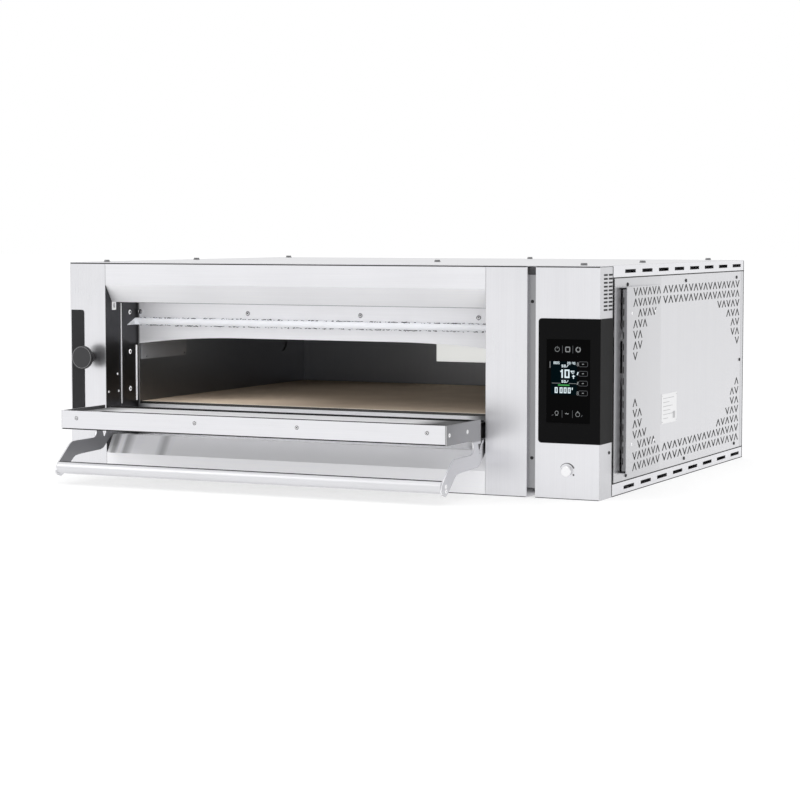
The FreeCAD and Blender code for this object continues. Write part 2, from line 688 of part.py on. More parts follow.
def baking_stones():
    """Two refractory slabs side by side, the steel rails under them and the angle across their front."""
    front, gap = cell("stoneFront"), cell("stoneGap")
    low, top = cell("stoneTop") - cell("stoneThick"), cell("stoneTop")
    middle = (MOUTH_LEFT + MOUTH_RIGHT) / 2
    rear = cell("chamberBack") - 6
    halves = {"baking_stone_left": (MOUTH_LEFT + 1.8, middle - gap / 2),
              "baking_stone_right": (middle + gap / 2, MOUTH_RIGHT - 1.8)}
    for label, limits in halves.items():
        node(label, span(limits, (front, rear), (low, top)))
    foot = cell("chamberFloor") + GAUGE
    shelf = 18
    rail_front, rail_long = front + 4, rear - front - 8
    left = [(MOUTH_LEFT, foot), (MOUTH_LEFT + GAUGE, foot), (MOUTH_LEFT + GAUGE, low - GAUGE),
            (MOUTH_LEFT + shelf, low - GAUGE), (MOUTH_LEFT + shelf, low), (MOUTH_LEFT, low)]
    right = [(MOUTH_RIGHT, foot), (MOUTH_RIGHT, low), (MOUTH_RIGHT - shelf, low),
             (MOUTH_RIGHT - shelf, low - GAUGE), (MOUTH_RIGHT - GAUGE, low - GAUGE), (MOUTH_RIGHT - GAUGE, foot)]
    rib = GAUGE / 2
    centre = [(middle - rib, foot), (middle + rib, foot), (middle + rib, low - GAUGE),
              (middle + shelf, low - GAUGE), (middle + shelf, low), (middle - shelf, low),
              (middle - shelf, low - GAUGE), (middle - rib, low - GAUGE)]
    rails = [extrusion("stone_rail", "XZ", back(rail_front), on_xz(outline), rail_long)
             for outline in (left, right, centre)]
    rails[1] = cut_for_heaters(rails[1], MOUTH_RIGHT)
    rails[2] = cut_for_heaters(rails[2], middle)
    strip_y = CHAMBER_FRONT + 4.2
    strip = span((MOUTH_LEFT + 1.8, MOUTH_RIGHT - 1.8), (strip_y, strip_y + GAUGE),
                 (foot, cell("stoneTop") - 0.6))
    node("stone_rails", group(*rails, strip))


def cut_for_heaters(rail, x):
    """Lets the lower heating rods pass through a rail's web near x."""
    holes = [cylinder("X", x - 10, y + side * cell("heaterBend"), HEATER_LOW, cell("heaterRadius") + 1, 20)
             for y in hairpin_backs() for side in (-1, 1)]
    return cut(rail, *holes)


def heaters():
    """Hairpin heating rods above and below the baking space, with their ends out through the right wall."""
    radius, bend = cell("heaterRadius"), cell("heaterBend")
    bend_at, end_at = size(125), MOUTH_RIGHT + 12
    for label, z in (("bottom_heaters", HEATER_LOW), ("top_heaters", HEATER_HIGH)):
        pins = []
        for y in hairpin_backs():
            runs = [cylinder("X", bend_at, y + side * bend, z, radius, end_at - bend_at) for side in (-1, 1)]
            elbow = doc.addObject("Part::Torus", "Elbow")
            bind(elbow, Radius1=bend, Radius2=radius, Angle3=180)
            elbow.Placement = Placement(Vector(), Rotation(Vector(0, 0, 1), 90))
            place(elbow, across(bend_at), back(y), z)
            pins.append(fuse(*runs, elbow))
        node(label, group(*pins))


def insulation():
    rear = cell("chamberBack")
    inside_x = (MOUTH_LEFT, MOUTH_RIGHT)
    deep = (CHAMBER_FRONT + 4, rear - 4)
    node("insulation_bottom", span(inside_x, deep, (6, cell("chamberFloor"))))
    node("insulation_top", span(inside_x, deep, (cell("chamberTop") + GAUGE, HEIGHT - 6)))
    wall = (76, cell("chamberTop"))
    left = span((54, MOUTH_LEFT - GAUGE), (CHAMBER_FRONT + 4, 592), wall)
    right = span((MOUTH_RIGHT + 16, cell("partition")), deep, wall)
    slab = span(inside_x, (rear + GAUGE, DEPTH - 4), (cell("chamberFloor"), cell("chamberTop")))
    pocket_x, pocket_z = (LAMP_X[0] - 6, LAMP_X[1] + 6), (LAMP_Z[0] - 6, LAMP_Z[1] + 6)
    node("insulation_walls", group(left, right, cut(slab, span(pocket_x, (rear, DEPTH), pocket_z))))


def lamp():
    """The chamber lamp: a heat-proof lens in the back wall, its housing and bulb."""
    rear = cell("chamberBack")
    node("lamp_lens", span((LAMP_X[0] + 0.5, LAMP_X[1] - 0.5), (rear - 1, rear + GAUGE),
                           (LAMP_Z[0] + 0.5, LAMP_Z[1] - 0.5)))
    x, z = (LAMP_X[0] - 4, LAMP_X[1] + 4), (LAMP_Z[0] - 4, LAMP_Z[1] + 4)
    shell = span(x, (rear + GAUGE, DEPTH - 5), z)
    hollow = span((x[0] + 1.5, x[1] - 1.5), (rear, DEPTH - 6.5), (z[0] + 1.5, z[1] - 1.5))
    node("lamp_housing", cut(shell, hollow))
    bulb_z = (LAMP_Z[0] + LAMP_Z[1]) / 2
    bulb = revolved("lamp_bulb", TURNS["X"], [
        (0, 0), (9, 0), (9, 14), (12, 22), (12, 40), (7, 50), (0, 52)], x[0] + 1.5, rear + 16, bulb_z)
    node("lamp_bulb", bulb)


def steam_path():
    """A duct from the port in the chamber's left wall to the collar on the rear skin."""
    duct_front, duct_left = size(600), size(18)
    outer = span((duct_left, MOUTH_LEFT - GAUGE), (duct_front, DEPTH - GAUGE), (190, 256))
    inner = span((duct_left + GAUGE, MOUTH_LEFT + GAUGE), (duct_front + GAUGE, DEPTH + GAUGE),
                 (190 + GAUGE, 256 - GAUGE))
    rod_way = cylinder("Y", cell("knobAcross"), duct_front - 3, cell("knobUp"), cell("rodRadius") + 1, 8)
    node("steam_duct", cut(outer, inner, rod_way))
    neck = DEPTH - GAUGE
    ring = revolved("flue_collar", TURNS["Y"], [
        (18, 0), (20, 0), (20, 1.5), (34, 1.5), (34, 3), (20, 3), (20, 22), (18, 22)],
        cell("knobAcross"), neck, cell("knobUp"))
    node("flue_collar", ring)


def thermocouple():
    probe = cylinder("X", 795, 450, 268, 3, MOUTH_RIGHT - 795 + GAUGE)
    nut = cylinder("X", MOUTH_RIGHT + GAUGE, 450, 268, 7, 8)
    node("thermocouple", fuse(probe, nut))


# ---------- electrical compartment ----------

def electrics():
    wall = cell("partition")
    node("partition_wall", span((wall, wall + GAUGE), (railed(2), DEPTH - 6), (3, SKIN_TOP - 4)))
    rail_x = wall + GAUGE
    node("din_rail", extrusion("din_rail", "XZ", back(size(180)), on_xz([
        (rail_x, 200), (rail_x + 1, 200), (rail_x + 1, 209), (rail_x + 7, 209), (rail_x + 7, 200),
        (rail_x + 8, 200), (rail_x + 8, 210), (rail_x + 1, 210), (rail_x + 1, 225), (rail_x + 8, 225),
        (rail_x + 8, 235), (rail_x + 7, 235), (rail_x + 7, 226), (rail_x + 1, 226), (rail_x + 1, 235),
        (rail_x, 235)]), size(500)))
    rows = []
    for i in range(3):
        y = 220 + 62 * i
        lower = span((rail_x + 8, rail_x + 60), (y, y + 45), (176, 260))
        upper = span((rail_x + 60, rail_x + 84), (y + 4, y + 41), (196, 240))
        screws = [span((rail_x + 60, rail_x + 66), (y + 6 + 12 * k, y + 14 + 12 * k), (z, z + 10))
                  for k in range(3) for z in (180, 246)]
        rows.append(fuse(lower, upper, *screws))
    node("contactors", group(*rows))
    blocks = []
    for i in range(5):
        y = 480 + 14 * i
        block = span((rail_x + 8, rail_x + 48), (y, y + 13), (190, 246))
        blocks.append(cut(block, cylinder("X", rail_x + 40, y + 6.5, 200, 3, 20),
                          cylinder("X", rail_x + 40, y + 6.5, 236, 3, 20)))
    node("terminal_block", group(*blocks))


def railed(offset):
    """A place just behind the front edge of the side rails."""
    return cell("railStart") + offset


def display():
    """The display's cover glass, the screen behind it and the control board."""
    left, wide = cell("windowLeft"), cell("windowWidth")
    low, high = cell("windowBottom"), cell("windowTop")
    slack = 0.1
    thick = cell("trimThick")
    node("display_glass", span((left + slack, left + wide - slack), (-thick - 0.2, thick),
                               (low + slack, high - slack)))
    board = span((left - 3, left + wide + 3), (14, 15.6), (low - 3, high + 3))
    parts = [span((left + 8 + 18 * i, left + 20 + 18 * i), (15.6, 26), (150, 168)) for i in range(4)]
    parts.append(span((left + 14, left + 64), (15.6, 34), (200, 240)))
    legs = [cylinder("Y", x, thick, z, 3, 14 - thick) for x in (left + 3, left + wide - 3)
            for z in (low + 6, high - 6)]
    screen = span((left + 6, left + wide - 6), (thick, 14), (172, 244))
    node("control_board", fuse(board, screen, *parts, *legs))


def selector():
    """The small rotary selector under the display: switch body, spindle and knob."""
    x, z = cell("dialAcross"), cell("dialUp")
    body = span((x - 14, x + 14), (GAUGE, 30), (z - 14, z + 14))
    node("selector_switch", cut(body, cylinder("Y", x, 0, z, 3 + cell("runFit"), 22)))
    radius = cell("dialRadius")
    knob = revolved("selector_knob_turned", TURNS["Y"], [
        (0, 0), (radius - 1, 0), (radius, 1), (radius, 7), (0, 7)], x, -7.6, z)
    marker = cylinder("Y", x + 4.6, -9, z - 4.6, 0.8, 1.8)
    node("selector_knob", fuse(cut(knob, marker), cylinder("Y", x, -4, z, 3, 24)))


def cooling_fan():
    """The axial fan that blows the compartment's air out through the rear grille."""
    x, z, radius, deep = cell("fanAcross"), cell("fanUp"), cell("fanRadius"), cell("fanDepth")
    rear = DEPTH - GAUGE
    front = rear - deep
    frame = span((x - 60, x + 60), (front, rear), (z - 60, z + 60))
    bore = cylinder("Y", x, front - 1, z, radius, deep + 2)
    ring = cut(frame, bore)
    spokes = [span((x - 60, x + 60), (rear - 6, rear - 2), (z - 2, z + 2)),
              span((x - 2, x + 2), (rear - 6, rear - 2), (z - 60, z + 60))]
    motor = cylinder("Y", x, rear - 10, z, 17, 8)
    node("fan_housing", cut(fuse(ring, *spokes, motor), cylinder("Y", x, rear - 11, z, 3.05, 6)))
    hub_long = 22
    hub_front = rear - 11 - hub_long
    hub = cylinder("Y", x, hub_front, z, 19, hub_long)
    shaft = cylinder("Y", x, rear - 12, z, 3, 6)
    blades = []
    blade_count = 7
    for i in range(blade_count):
        blade = doc.addObject("Part::Box", "Blade")
        bind(blade, Length=radius - 20, Width=1.6, Height=20)
        pitch = Rotation(Vector(1, 0, 0), 50)
        around = Rotation(Vector(0, 1, 0), 360 / blade_count * i)
        local = Placement(Vector(17, -6, -8), pitch)
        blade.Placement = Placement(Vector(), around) * local
        offset = blade.Placement.Base
        place(blade, across(x) + offset.x, back(hub_front + hub_long / 2 + 13) + offset.y, z + offset.z)
        blades.append(blade)
    node("fan_rotor", fuse(hub, shaft, *blades))


def cable_gland():
    """The empty cable entry in the rear skin: thread, lock nut inside and hexagon outside."""
    x, z, bore = cell("glandAcross"), cell("glandUp"), cell("glandBore")
    rear = DEPTH
    thread = cylinder("Y", x, rear - 14, z, 10, 14)
    prisms = []
    for start, long, reach in ((rear, 8, 14), (rear - GAUGE - 5, 5, 14)):
        hexagon = doc.addObject("Part::Prism", "Hexagon")
        hexagon.Polygon = 6
        bind(hexagon, Circumradius=reach, Height=long)
        hexagon.Placement = Placement(Vector(), TURNS["Y"])
        prisms.append(place(hexagon, across(x), back(start), z))
    dome = cylinder("Y", x, rear + 8, z, 11.5, 9)
    gland = fuse(thread, dome, *prisms)
    node("cable_gland", cut(gland, cylinder("Y", x, rear - 20, z, bore, 50)))


# ---------- steam damper ----------

def damper():
    x, z, radius = cell("knobAcross"), cell("knobUp"), cell("rodRadius")
    big, long = cell("knobRadius"), cell("knobLength")
    neck = 10
    knob = revolved("damper_knob_turned", TURNS["Y"], [
        (0, 0), (big - 2, 0), (big, 1.2), (big, 6), (neck + 1.5, long - 12), (neck, long - 9),
        (neck, long - 1.6), (0, long - 1.6)], x, -long, z)
    socket = -14
    node("damper_knob", cut(knob, cylinder("Y", x, socket, z, radius, 30)))
    rod_end = cell("portBack") + 24
    node("damper_rod", cylinder("Y", x, socket, z, radius, rod_end - socket))
    half = 30
    face = MOUTH_LEFT - GAUGE - 1
    blade = span((face - 2, face), (cell("portBack") - half, cell("portBack") + half), (z - 27, z + 27))
    lug = span((x - 8, face - 2), (rod_end, rod_end + 3), (z - 10, z + 10))
    node("damper_plate", fuse(blade, lug))


# ---------- door ----------

ARM_LEFT = JAMB_LEFT + 1
ARM_RIGHT = JAMB_RIGHT - 1


def arm_outline():
    """Side plate of the open door: end plate, neck, dog-leg arm down to the handle, hinge prong."""
    reach, heel = -cell("doorReach") + 0.5, size(-13)
    low, rim = cell("doorBottom") - 0.5, cell("doorRim")
    bar_y, bar_z = -cell("barReach"), cell("barUp")
    hinge, up, boss = cell("hingeBack"), cell("hingeUp"), cell("hingeBoss")
    return [
        (reach, low), (-51, low), (-46, 96), (-43.6, 91), (-43, 84), (-44.6, 79), (-49, 75.6), (-56, 74.4),
        (-109, 73.8), (-125, 73.2), (-132.5, 69.6), (bar_y - 1.5, bar_z + 10.3), (bar_y - 9, bar_z + 1),
        (bar_y - 11, bar_z - 6), (bar_y - 7.5, bar_z - 12.5), (bar_y + 5, bar_z - 16.5),
        (bar_y + 16, bar_z - 12), (bar_y + 35, bar_z + 4.7), (bar_y + 45, bar_z + 13), (-114, 46.8),
        (-95, 48.4), (-30, 50.5), (-20, 53.5), (-11, 60), (4, 71), (17, 76.3), (hinge, up - boss),
        (hinge + 4, up + boss - 0.7), (4, 98), (-7, 88), (-16.5, 74), (-18.5, 74), (-25, 91), (heel, 91),
        (heel, rim), (reach, rim)]


BOSS_SIDE = 26


def door_arms():
    hinge, up, boss = cell("hingeBack"), cell("hingeUp"), cell("hingeBoss")
    corners = arm_outline()
    for label, start in (("door_arm_left", ARM_LEFT), ("door_arm_right", ARM_RIGHT - cell("armThick"))):
        plate = extrusion(label + "_plate", "YZ", across(start), on_yz(corners), cell("armThick"),
                          arcs={BOSS_SIDE: boss})
        bore = cylinder("X", start - 2, hinge, up, cell("pinRadius") + cell("runFit"), 8)
        node(label, cut(plate, bore))


def door_panel():
    """The glazed leaf between the arms: outer skin, fibre core, two panes and the frame that holds them."""
    left, right = ARM_LEFT + cell("armThick"), ARM_RIGHT - cell("armThick")
    reach, heel = -cell("doorReach"), cell("doorHeel")
    low, rim, pane = cell("doorBottom"), cell("doorRim"), cell("doorPane")
    glass = 4
    skin = extrusion("door_skin_fold", "YZ", across(left), on_yz([
        (reach, low), (heel, low), (heel, pane - glass), (heel - GAUGE, pane - glass), (heel - GAUGE, low + GAUGE),
        (reach + GAUGE, low + GAUGE), (reach + GAUGE, rim), (reach, rim)]), right - left)
    view_x, view_y = (160, 772), (-110, -12)
    inside_x, inside_y = (left + GAUGE, right - GAUGE), (reach + GAUGE, heel - GAUGE)
    ends = [span(x, inside_y, (low, pane - glass)) for x in ((left, inside_x[0]), (inside_x[1], right))]
    node("door_skin", cut(fuse(skin, *ends), span(view_x, view_y, (low - 2, low + 4))))
    outer_top, frame_low = low + GAUGE + glass, pane - glass - 3
    node("door_outer_pane", span((view_x[0] - 10, view_x[1] + 10), (view_y[0] - 8, view_y[1] + 8),
                                 (low + GAUGE, outer_top)))
    core = span(inside_x, inside_y, (outer_top, frame_low))
    node("door_core", cut(core, span(view_x, view_y, (low, rim))))
    frame = span(inside_x, inside_y, (frame_low, pane - glass))
    node("door_inner_frame", cut(frame, span(view_x, view_y, (low, rim))))
    node("door_inner_pane", span((left, right), (reach + GAUGE, heel), (pane - glass, pane)))


def handle_bar():
    left, right = ARM_LEFT + cell("armThick"), ARM_RIGHT - cell("armThick")
    y, z, radius = -cell("barReach"), cell("barUp"), cell("barRadius")
    tube = cylinder("X", left, y, z, radius, right - left)
    node("handle_bar", cut(tube, cylinder("X", left + 4, y, z, radius - GAUGE, right - left - 8)))


# ---------- fasteners and plates ----------

def door_screws():
    heads = [head("Y", -1, x, -cell("doorReach"), 118, 3, 1.2) for x in (108, 344, 565, 813)]
    bar_y, bar_z = -cell("barReach"), cell("barUp")
    places = [(-146, 116), (-70.8, 116), (bar_y + 6.5, bar_z + 1), (bar_y + 7.5, bar_z - 7.5)]
    for y, z in places:
        heads.append(head("X", 1, ARM_RIGHT, y, z, 3, 0.7))
        heads.append(head("X", -1, ARM_LEFT, y, z, 3, 0.7))
    node("door_screws", group(*heads))


def panel_screws():
    side = [(135, 366), (458, 366), (779, 366), (804, 200), (132, 31.4), (455, 31.8), (773, 33)]
    heads = [head("X", 1, WIDTH, y, z) for y, z in side]
    heads += [head("X", -1, size(0), y, z) for y, z in side]
    heads.append(head("X", 1, WIDTH, 47, 78.8, 3, 1.2))
    heads += [head("Y", -1, (GAP_LEFT + COLUMN_LEFT) / 2 - 1.5, cell("gapBack"), z, 2.6, 1.2) for z in (338, 68)]
    heads += [head("Y", 1, x, DEPTH, z) for x in (16, 370, 700, 1050) for z in (12, 388)]
    return heads


def recess_screws():
    """Low cross-head screws of the mouth frame, and those down both recess walls."""
    mouth = cell("mouthBack")
    heads = [head("Y", -1, x, mouth, 304, 3.4, 1.2) for x in (86, 322, 558, 794)]
    for z in (304, 228.5, 157.5):
        heads.append(head("X", 1, JAMB_LEFT, 82, z, 3.4, 0.7))
        heads.append(head("X", -1, JAMB_RIGHT, 82, z, 3.4, 0.7))
    return heads


def recess_rivets():
    """Rivet heads and a slotted tab on each side wall of the recess."""
    marks = []
    for face, sense in ((RECESS_LEFT, 1), (RECESS_RIGHT, -1)):
        for y, z in ((39.8, 188), (8.9, 155.7), (43.6, 155.2)):
            marks.append(head("X", sense, face, y, z, 2.2, 1.4))
        limits = (face, face + 1.8) if sense > 0 else (face - 1.8, face)
        tab = span(limits, (24, 33), (309, 327))
        marks.append(cut(tab, span((face - 5, face + 5), (26.5, 30.5), (314, 322))))
    return marks


def cover_bolts():
    """Hexagon bolts that hold the top cover down."""
    bolts = []
    for x, y in ((50, 50), (620, 314), (1017, 50), (1006, 384), (50, 384), (50, 780), (620, 780), (1006, 780)):
        bolt = doc.addObject("Part::Prism", "Hexagon")
        bolt.Polygon = 6
        bind(bolt, Circumradius=5.8, Height=4)
        bolts.append(place(bolt, across(size(x)), back(size(y)), HEIGHT))
    return bolts


def casing_fasteners():
    node("casing_fasteners", group(*panel_screws(), *recess_screws(), *recess_rivets(), *cover_bolts()))


def build():
    base_pan()
    top_cover()
    left_side_panel()
    right_side_panel()
    rear_panel()
    posts()
    channel_strip()
    control_column()
    control_bezel()
    left_trim()
    fascias()
    jamb("left_jamb", JAMB_LEFT, RECESS_LEFT, -1)
    jamb("right_jamb", JAMB_RIGHT, RECESS_RIGHT, 1)
    hinge_parts()
    mouth_frame()
    rope_gasket()
    sill_plate()
    chamber()
    baking_stones()
    heaters()
    insulation()
    lamp()
    steam_path()
    thermocouple()
    electrics()
    display()
    selector()
    cooling_fan()
    cable_gland()
    damper()
    door_arms()
    door_panel()
    handle_bar()
    door_screws()
    casing_fasteners()


def check():
    """Stops before any file is written if an object failed or a sub-part's shape is unusable."""
    doc.recompute()
    failed = [o.Label for o in doc.Objects if {"Invalid", "Error"} & set(o.State)]
    if failed:
        raise RuntimeError(f"objects that did not compute: {failed}")
    for label, piece in NODES.items():
        shape = piece.Shape
        if shape.isNull() or not shape.isValid() or not shape.Solids:
            raise RuntimeError(f"{label} has no valid solid")


def export():
    os.makedirs("parts", exist_ok=True)
    for old in os.listdir("parts"):
        if old.endswith(".step"):
            os.remove(os.path.join("parts", old))
    for label, piece in NODES.items():
        piece.Shape.exportStep(f"parts/{label}.step")
        box_of = piece.Shape.BoundBox
        print(f"{label:22s} solids {len(piece.Shape.Solids):3d}  volume {piece.Shape.Volume / 1000:9.1f} cm3  "
              f"x {box_of.XMin:7.1f} {box_of.XMax:7.1f}  y {box_of.YMin:7.1f} {box_of.YMax:7.1f}  "
              f"z {box_of.ZMin:6.1f} {box_of.ZMax:6.1f}")


build()
check()
export()
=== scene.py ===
import json
import math
import random

import bmesh
import bpy
from mathutils import Euler, Matrix, Vector


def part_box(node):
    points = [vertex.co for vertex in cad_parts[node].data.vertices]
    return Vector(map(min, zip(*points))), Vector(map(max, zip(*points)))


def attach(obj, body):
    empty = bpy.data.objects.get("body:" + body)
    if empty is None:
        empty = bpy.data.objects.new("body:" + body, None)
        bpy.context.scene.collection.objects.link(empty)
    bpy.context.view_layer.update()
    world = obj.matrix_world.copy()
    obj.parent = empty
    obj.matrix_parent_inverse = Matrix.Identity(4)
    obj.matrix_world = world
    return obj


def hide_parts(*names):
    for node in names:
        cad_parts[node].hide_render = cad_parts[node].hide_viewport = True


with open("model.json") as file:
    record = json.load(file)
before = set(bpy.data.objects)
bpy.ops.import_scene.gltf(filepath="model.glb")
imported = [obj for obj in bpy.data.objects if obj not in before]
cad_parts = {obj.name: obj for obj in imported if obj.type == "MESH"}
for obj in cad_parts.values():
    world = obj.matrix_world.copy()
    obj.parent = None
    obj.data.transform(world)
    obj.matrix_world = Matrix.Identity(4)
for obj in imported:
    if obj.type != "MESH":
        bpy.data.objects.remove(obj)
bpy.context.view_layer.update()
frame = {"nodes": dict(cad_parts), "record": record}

# A stainless deck oven: looks only. The scene is in metres in the CAD frame: x to the right, y to the
# back, z up. Sizes and places in this script are in millimetres from the casing's left side, front
# plane and underside, and at() turns them into the CAD frame.

NODES = frame["nodes"]
MM = 0.001
WIDTH, DEPTH, HEIGHT = 1066, 830, 400
ORIGIN = (WIDTH / 2, DEPTH / 2, 0)
X, Y, Z = 0, 1, 2


def at(x, y, z):
    """A point given in millimetres from the casing's left side, front plane and underside."""
    return Vector(((x - WIDTH / 2) * MM, (y - DEPTH / 2) * MM, z * MM))


def corners_of(node):
    """The low and high corners of a CAD node's box, in millimetres as at() takes them."""
    return [[corner[axis] / MM + ORIGIN[axis] for axis in (X, Y, Z)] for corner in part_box(node)]


# ---------- materials ----------

MIX_A, MIX_B, MIX_RESULT = 6, 7, 2  # a Mix node's sockets when it mixes colours
GRAIN_ACROSS, GRAIN_ALONG = 900.0, 9.0  # noise scales of the fine brushed lines
BAND_ACROSS, BAND_ALONG = 90.0, 1.5  # and of the broad bands between them
WIPES = 7.0  # noise scale of the handling marks
CORNER_SHADE_REACH = 0.0013  # how far the painted shade at corners reaches, in metres


def connect(tree, socket, value):
    """Links a socket to another node's output, or sets it to a plain value."""
    if isinstance(value, bpy.types.NodeSocket):
        tree.links.new(value, socket)
    else:
        socket.default_value = value


def feed(tree, node, **inputs):
    """Connects a node's inputs, named with _ for a space."""
    for key, value in inputs.items():
        connect(tree, node.inputs[key.replace("_", " ")], value)


def put(tree, kind, props=None, **inputs):
    """Adds a shader node, with its properties and its inputs."""
    node = tree.nodes.new("ShaderNode" + kind)
    for key, value in (props or {}).items():
        setattr(node, key, value)
    feed(tree, node, **inputs)
    return node


def calc(tree, operation, a, b=0.0):
    """A sum of one or two values."""
    node = put(tree, "Math", {"operation": operation})
    connect(tree, node.inputs[0], a)
    connect(tree, node.inputs[1], b)
    return node.outputs[0]


def spread(tree, value, low, high):
    """Maps a 0 to 1 value onto low to high."""
    return put(tree, "MapRange", Value=value, To_Min=low, To_Max=high).outputs["Result"]


def grey(level):
    return (level, level, level, 1.0)


def even(tree, level):
    """A grey colour from a level that nodes give."""
    return put(tree, "CombineColor", Red=level, Green=level, Blue=level).outputs[0]


def multiplied(tree, first, second):
    """The product of two colours."""
    mixed = put(tree, "Mix", {"data_type": "RGBA", "blend_type": "MULTIPLY"}, Factor=1.0)
    connect(tree, mixed.inputs[MIX_A], first)
    connect(tree, mixed.inputs[MIX_B], second)
    return mixed.outputs[MIX_RESULT]


def new_material(name):
    """An empty material, its node tree and its shader."""
    material = bpy.data.materials.new(name)
    material.use_nodes = True
    tree = material.node_tree
    tree.nodes.clear()
    output = tree.nodes.new("ShaderNodeOutputMaterial")
    shader = tree.nodes.new("ShaderNodeBsdfPrincipled")
    tree.links.new(shader.outputs[0], output.inputs["Surface"])
    return material, tree, shader


def stretched(tree, along, fine, coarse):
    """Noise drawn out along one axis: fine lines across it, slow change along it."""
    scale = [fine, fine, fine]
    scale["XYZ".index(along)] = coarse
    coords = put(tree, "TexCoord").outputs["Object"]
    mapped = put(tree, "Mapping", Vector=coords, Scale=scale).outputs["Vector"]
    return put(tree, "TexNoise", Vector=mapped, Scale=1.0, Detail=3.0, Roughness=0.6).outputs["Fac"]


def cloud(tree, scale, detail=3.0):
    """Noise that is alike in every direction."""
    coords = put(tree, "TexCoord").outputs["Object"]
    return put(tree, "TexNoise", Vector=coords, Scale=scale, Detail=detail, Roughness=0.55).outputs["Fac"]


def brushed(name, colour, rough=0.3, along="X", lines=0.05, smudge=0.05, metallic=1.0, bump=0.06, gloss=0.5,
            emission=0.0, corner_shade=0.0):
    """Brushed stainless: fine grain along one axis, faint handling marks, softened edges, corners
    darkened by corner_shade as painted shade, and a glow from emission as painted light."""
    material, tree, shader = new_material(name)
    grain = stretched(tree, along, GRAIN_ACROSS, GRAIN_ALONG)
    bands = stretched(tree, along, BAND_ACROSS, BAND_ALONG)
    wipes = cloud(tree, WIPES)
    shade = calc(tree, "ADD", spread(tree, grain, -lines, lines),
                 spread(tree, bands, -lines / 2, lines / 2))
    shade = calc(tree, "ADD", shade, spread(tree, wipes, -smudge, smudge))
    factor = calc(tree, "ADD", shade, 1.0)
    # Painted shade: darkens the corners by up to corner_shade.
    if corner_shade:
        around = put(tree, "Bevel", {"samples": 6}, Radius=CORNER_SHADE_REACH).outputs[0]
        flat = put(tree, "NewGeometry").outputs["Normal"]
        turn = put(tree, "VectorMath", {"operation": "DOT_PRODUCT"})
        connect(tree, turn.inputs[0], around)
        connect(tree, turn.inputs[1], flat)
        corner = put(tree, "MapRange", Value=turn.outputs["Value"], From_Min=0.75, From_Max=0.98,
                     To_Min=1.0 - corner_shade, To_Max=1.0).outputs["Result"]
        factor = calc(tree, "MULTIPLY", factor, corner)
    tint = multiplied(tree, (*colour, 1), even(tree, factor))
    roughness = calc(tree, "ADD", spread(tree, grain, rough - 0.05, rough + 0.05),
                     spread(tree, wipes, -0.06, 0.06))
    soft = put(tree, "Bevel", {"samples": 4}, Radius=0.0005).outputs[0]
    normal = put(tree, "Bump", Strength=bump, Distance=0.0004, Height=grain, Normal=soft).outputs[0]
    feed(tree, shader, Base_Color=tint, Metallic=metallic, Roughness=roughness, Normal=normal,
         Specular_IOR_Level=gloss)
    # Painted light: the steel glows in its own colour.
    if emission:
        feed(tree, shader, Emission_Color=(*colour, 1), Emission_Strength=emission)
    return material


def plain(name, colour, rough, metallic=0.0, coat=0.0, scale=400.0, relief=0.05, wear=0.04, edge=0.0004,
          emission=0.0, gloss=0.5):
    """A painted or moulded surface with fine orange-peel texture and slight colour drift."""
    material, tree, shader = new_material(name)
    texture = cloud(tree, scale, 2.0)
    drift = cloud(tree, 12.0)
    factor = calc(tree, "ADD", spread(tree, drift, -wear, wear), 1.0)
    tint = multiplied(tree, (*colour, 1), even(tree, factor))
    soft = put(tree, "Bevel", {"samples": 4}, Radius=edge).outputs[0]
    normal = put(tree, "Bump", Strength=relief, Distance=0.0003, Height=texture, Normal=soft).outputs[0]
    feed(tree, shader, Base_Color=tint, Metallic=metallic, Coat_Weight=coat, Specular_IOR_Level=gloss,
         Roughness=calc(tree, "ADD", spread(tree, drift, -0.04, 0.04), rough), Normal=normal)
    # Emission: painted light on the rope, the folded edges and the stones' front edge; the lamp glass and the
    # floor paper glow as well.
    if emission:
        feed(tree, shader, Emission_Color=(*colour, 1), Emission_Strength=emission)
    return material


def stone_material():
    """Fire-clay slab: fine sandy speckle, broad toasted patches and small pores."""
    material, tree, shader = new_material("fireclay")
    patches = cloud(tree, 5.0, 4.0)
    sand = cloud(tree, 900.0, 2.0)
    pores = put(tree, "TexVoronoi", Vector=put(tree, "TexCoord").outputs["Object"], Scale=420.0)
    pit = put(tree, "MapRange", Value=pores.outputs["Distance"], From_Min=0.0, From_Max=0.16, To_Min=0.0,
              To_Max=1.0).outputs["Result"]
    ramp = put(tree, "ValToRGB", Fac=patches)
    toasted, pale = ramp.color_ramp.elements
    toasted.position, toasted.color = 0.3, (0.56, 0.44, 0.33, 1)
    pale.position, pale.color = 0.72, (0.76, 0.62, 0.48, 1)
    level = calc(tree, "MULTIPLY", spread(tree, sand, 0.86, 1.1), spread(tree, pit, 0.8, 1.0))
    grit = multiplied(tree, ramp.outputs[0], even(tree, level))
    height = calc(tree, "ADD", calc(tree, "MULTIPLY", sand, 0.3), pit)
    normal = put(tree, "Bump", Strength=0.35, Distance=0.0006, Height=height).outputs[0]
    feed(tree, shader, Base_Color=grit, Roughness=0.92, Normal=normal)
    return material


def glass_material(name, colour):
    """Clear glass with faint smears."""
    material, tree, shader = new_material(name)
    feed(tree, shader, Base_Color=(*colour, 1), Transmission_Weight=1.0, IOR=1.5,
         Roughness=spread(tree, cloud(tree, 20.0), 0.03, 0.05))
    return material


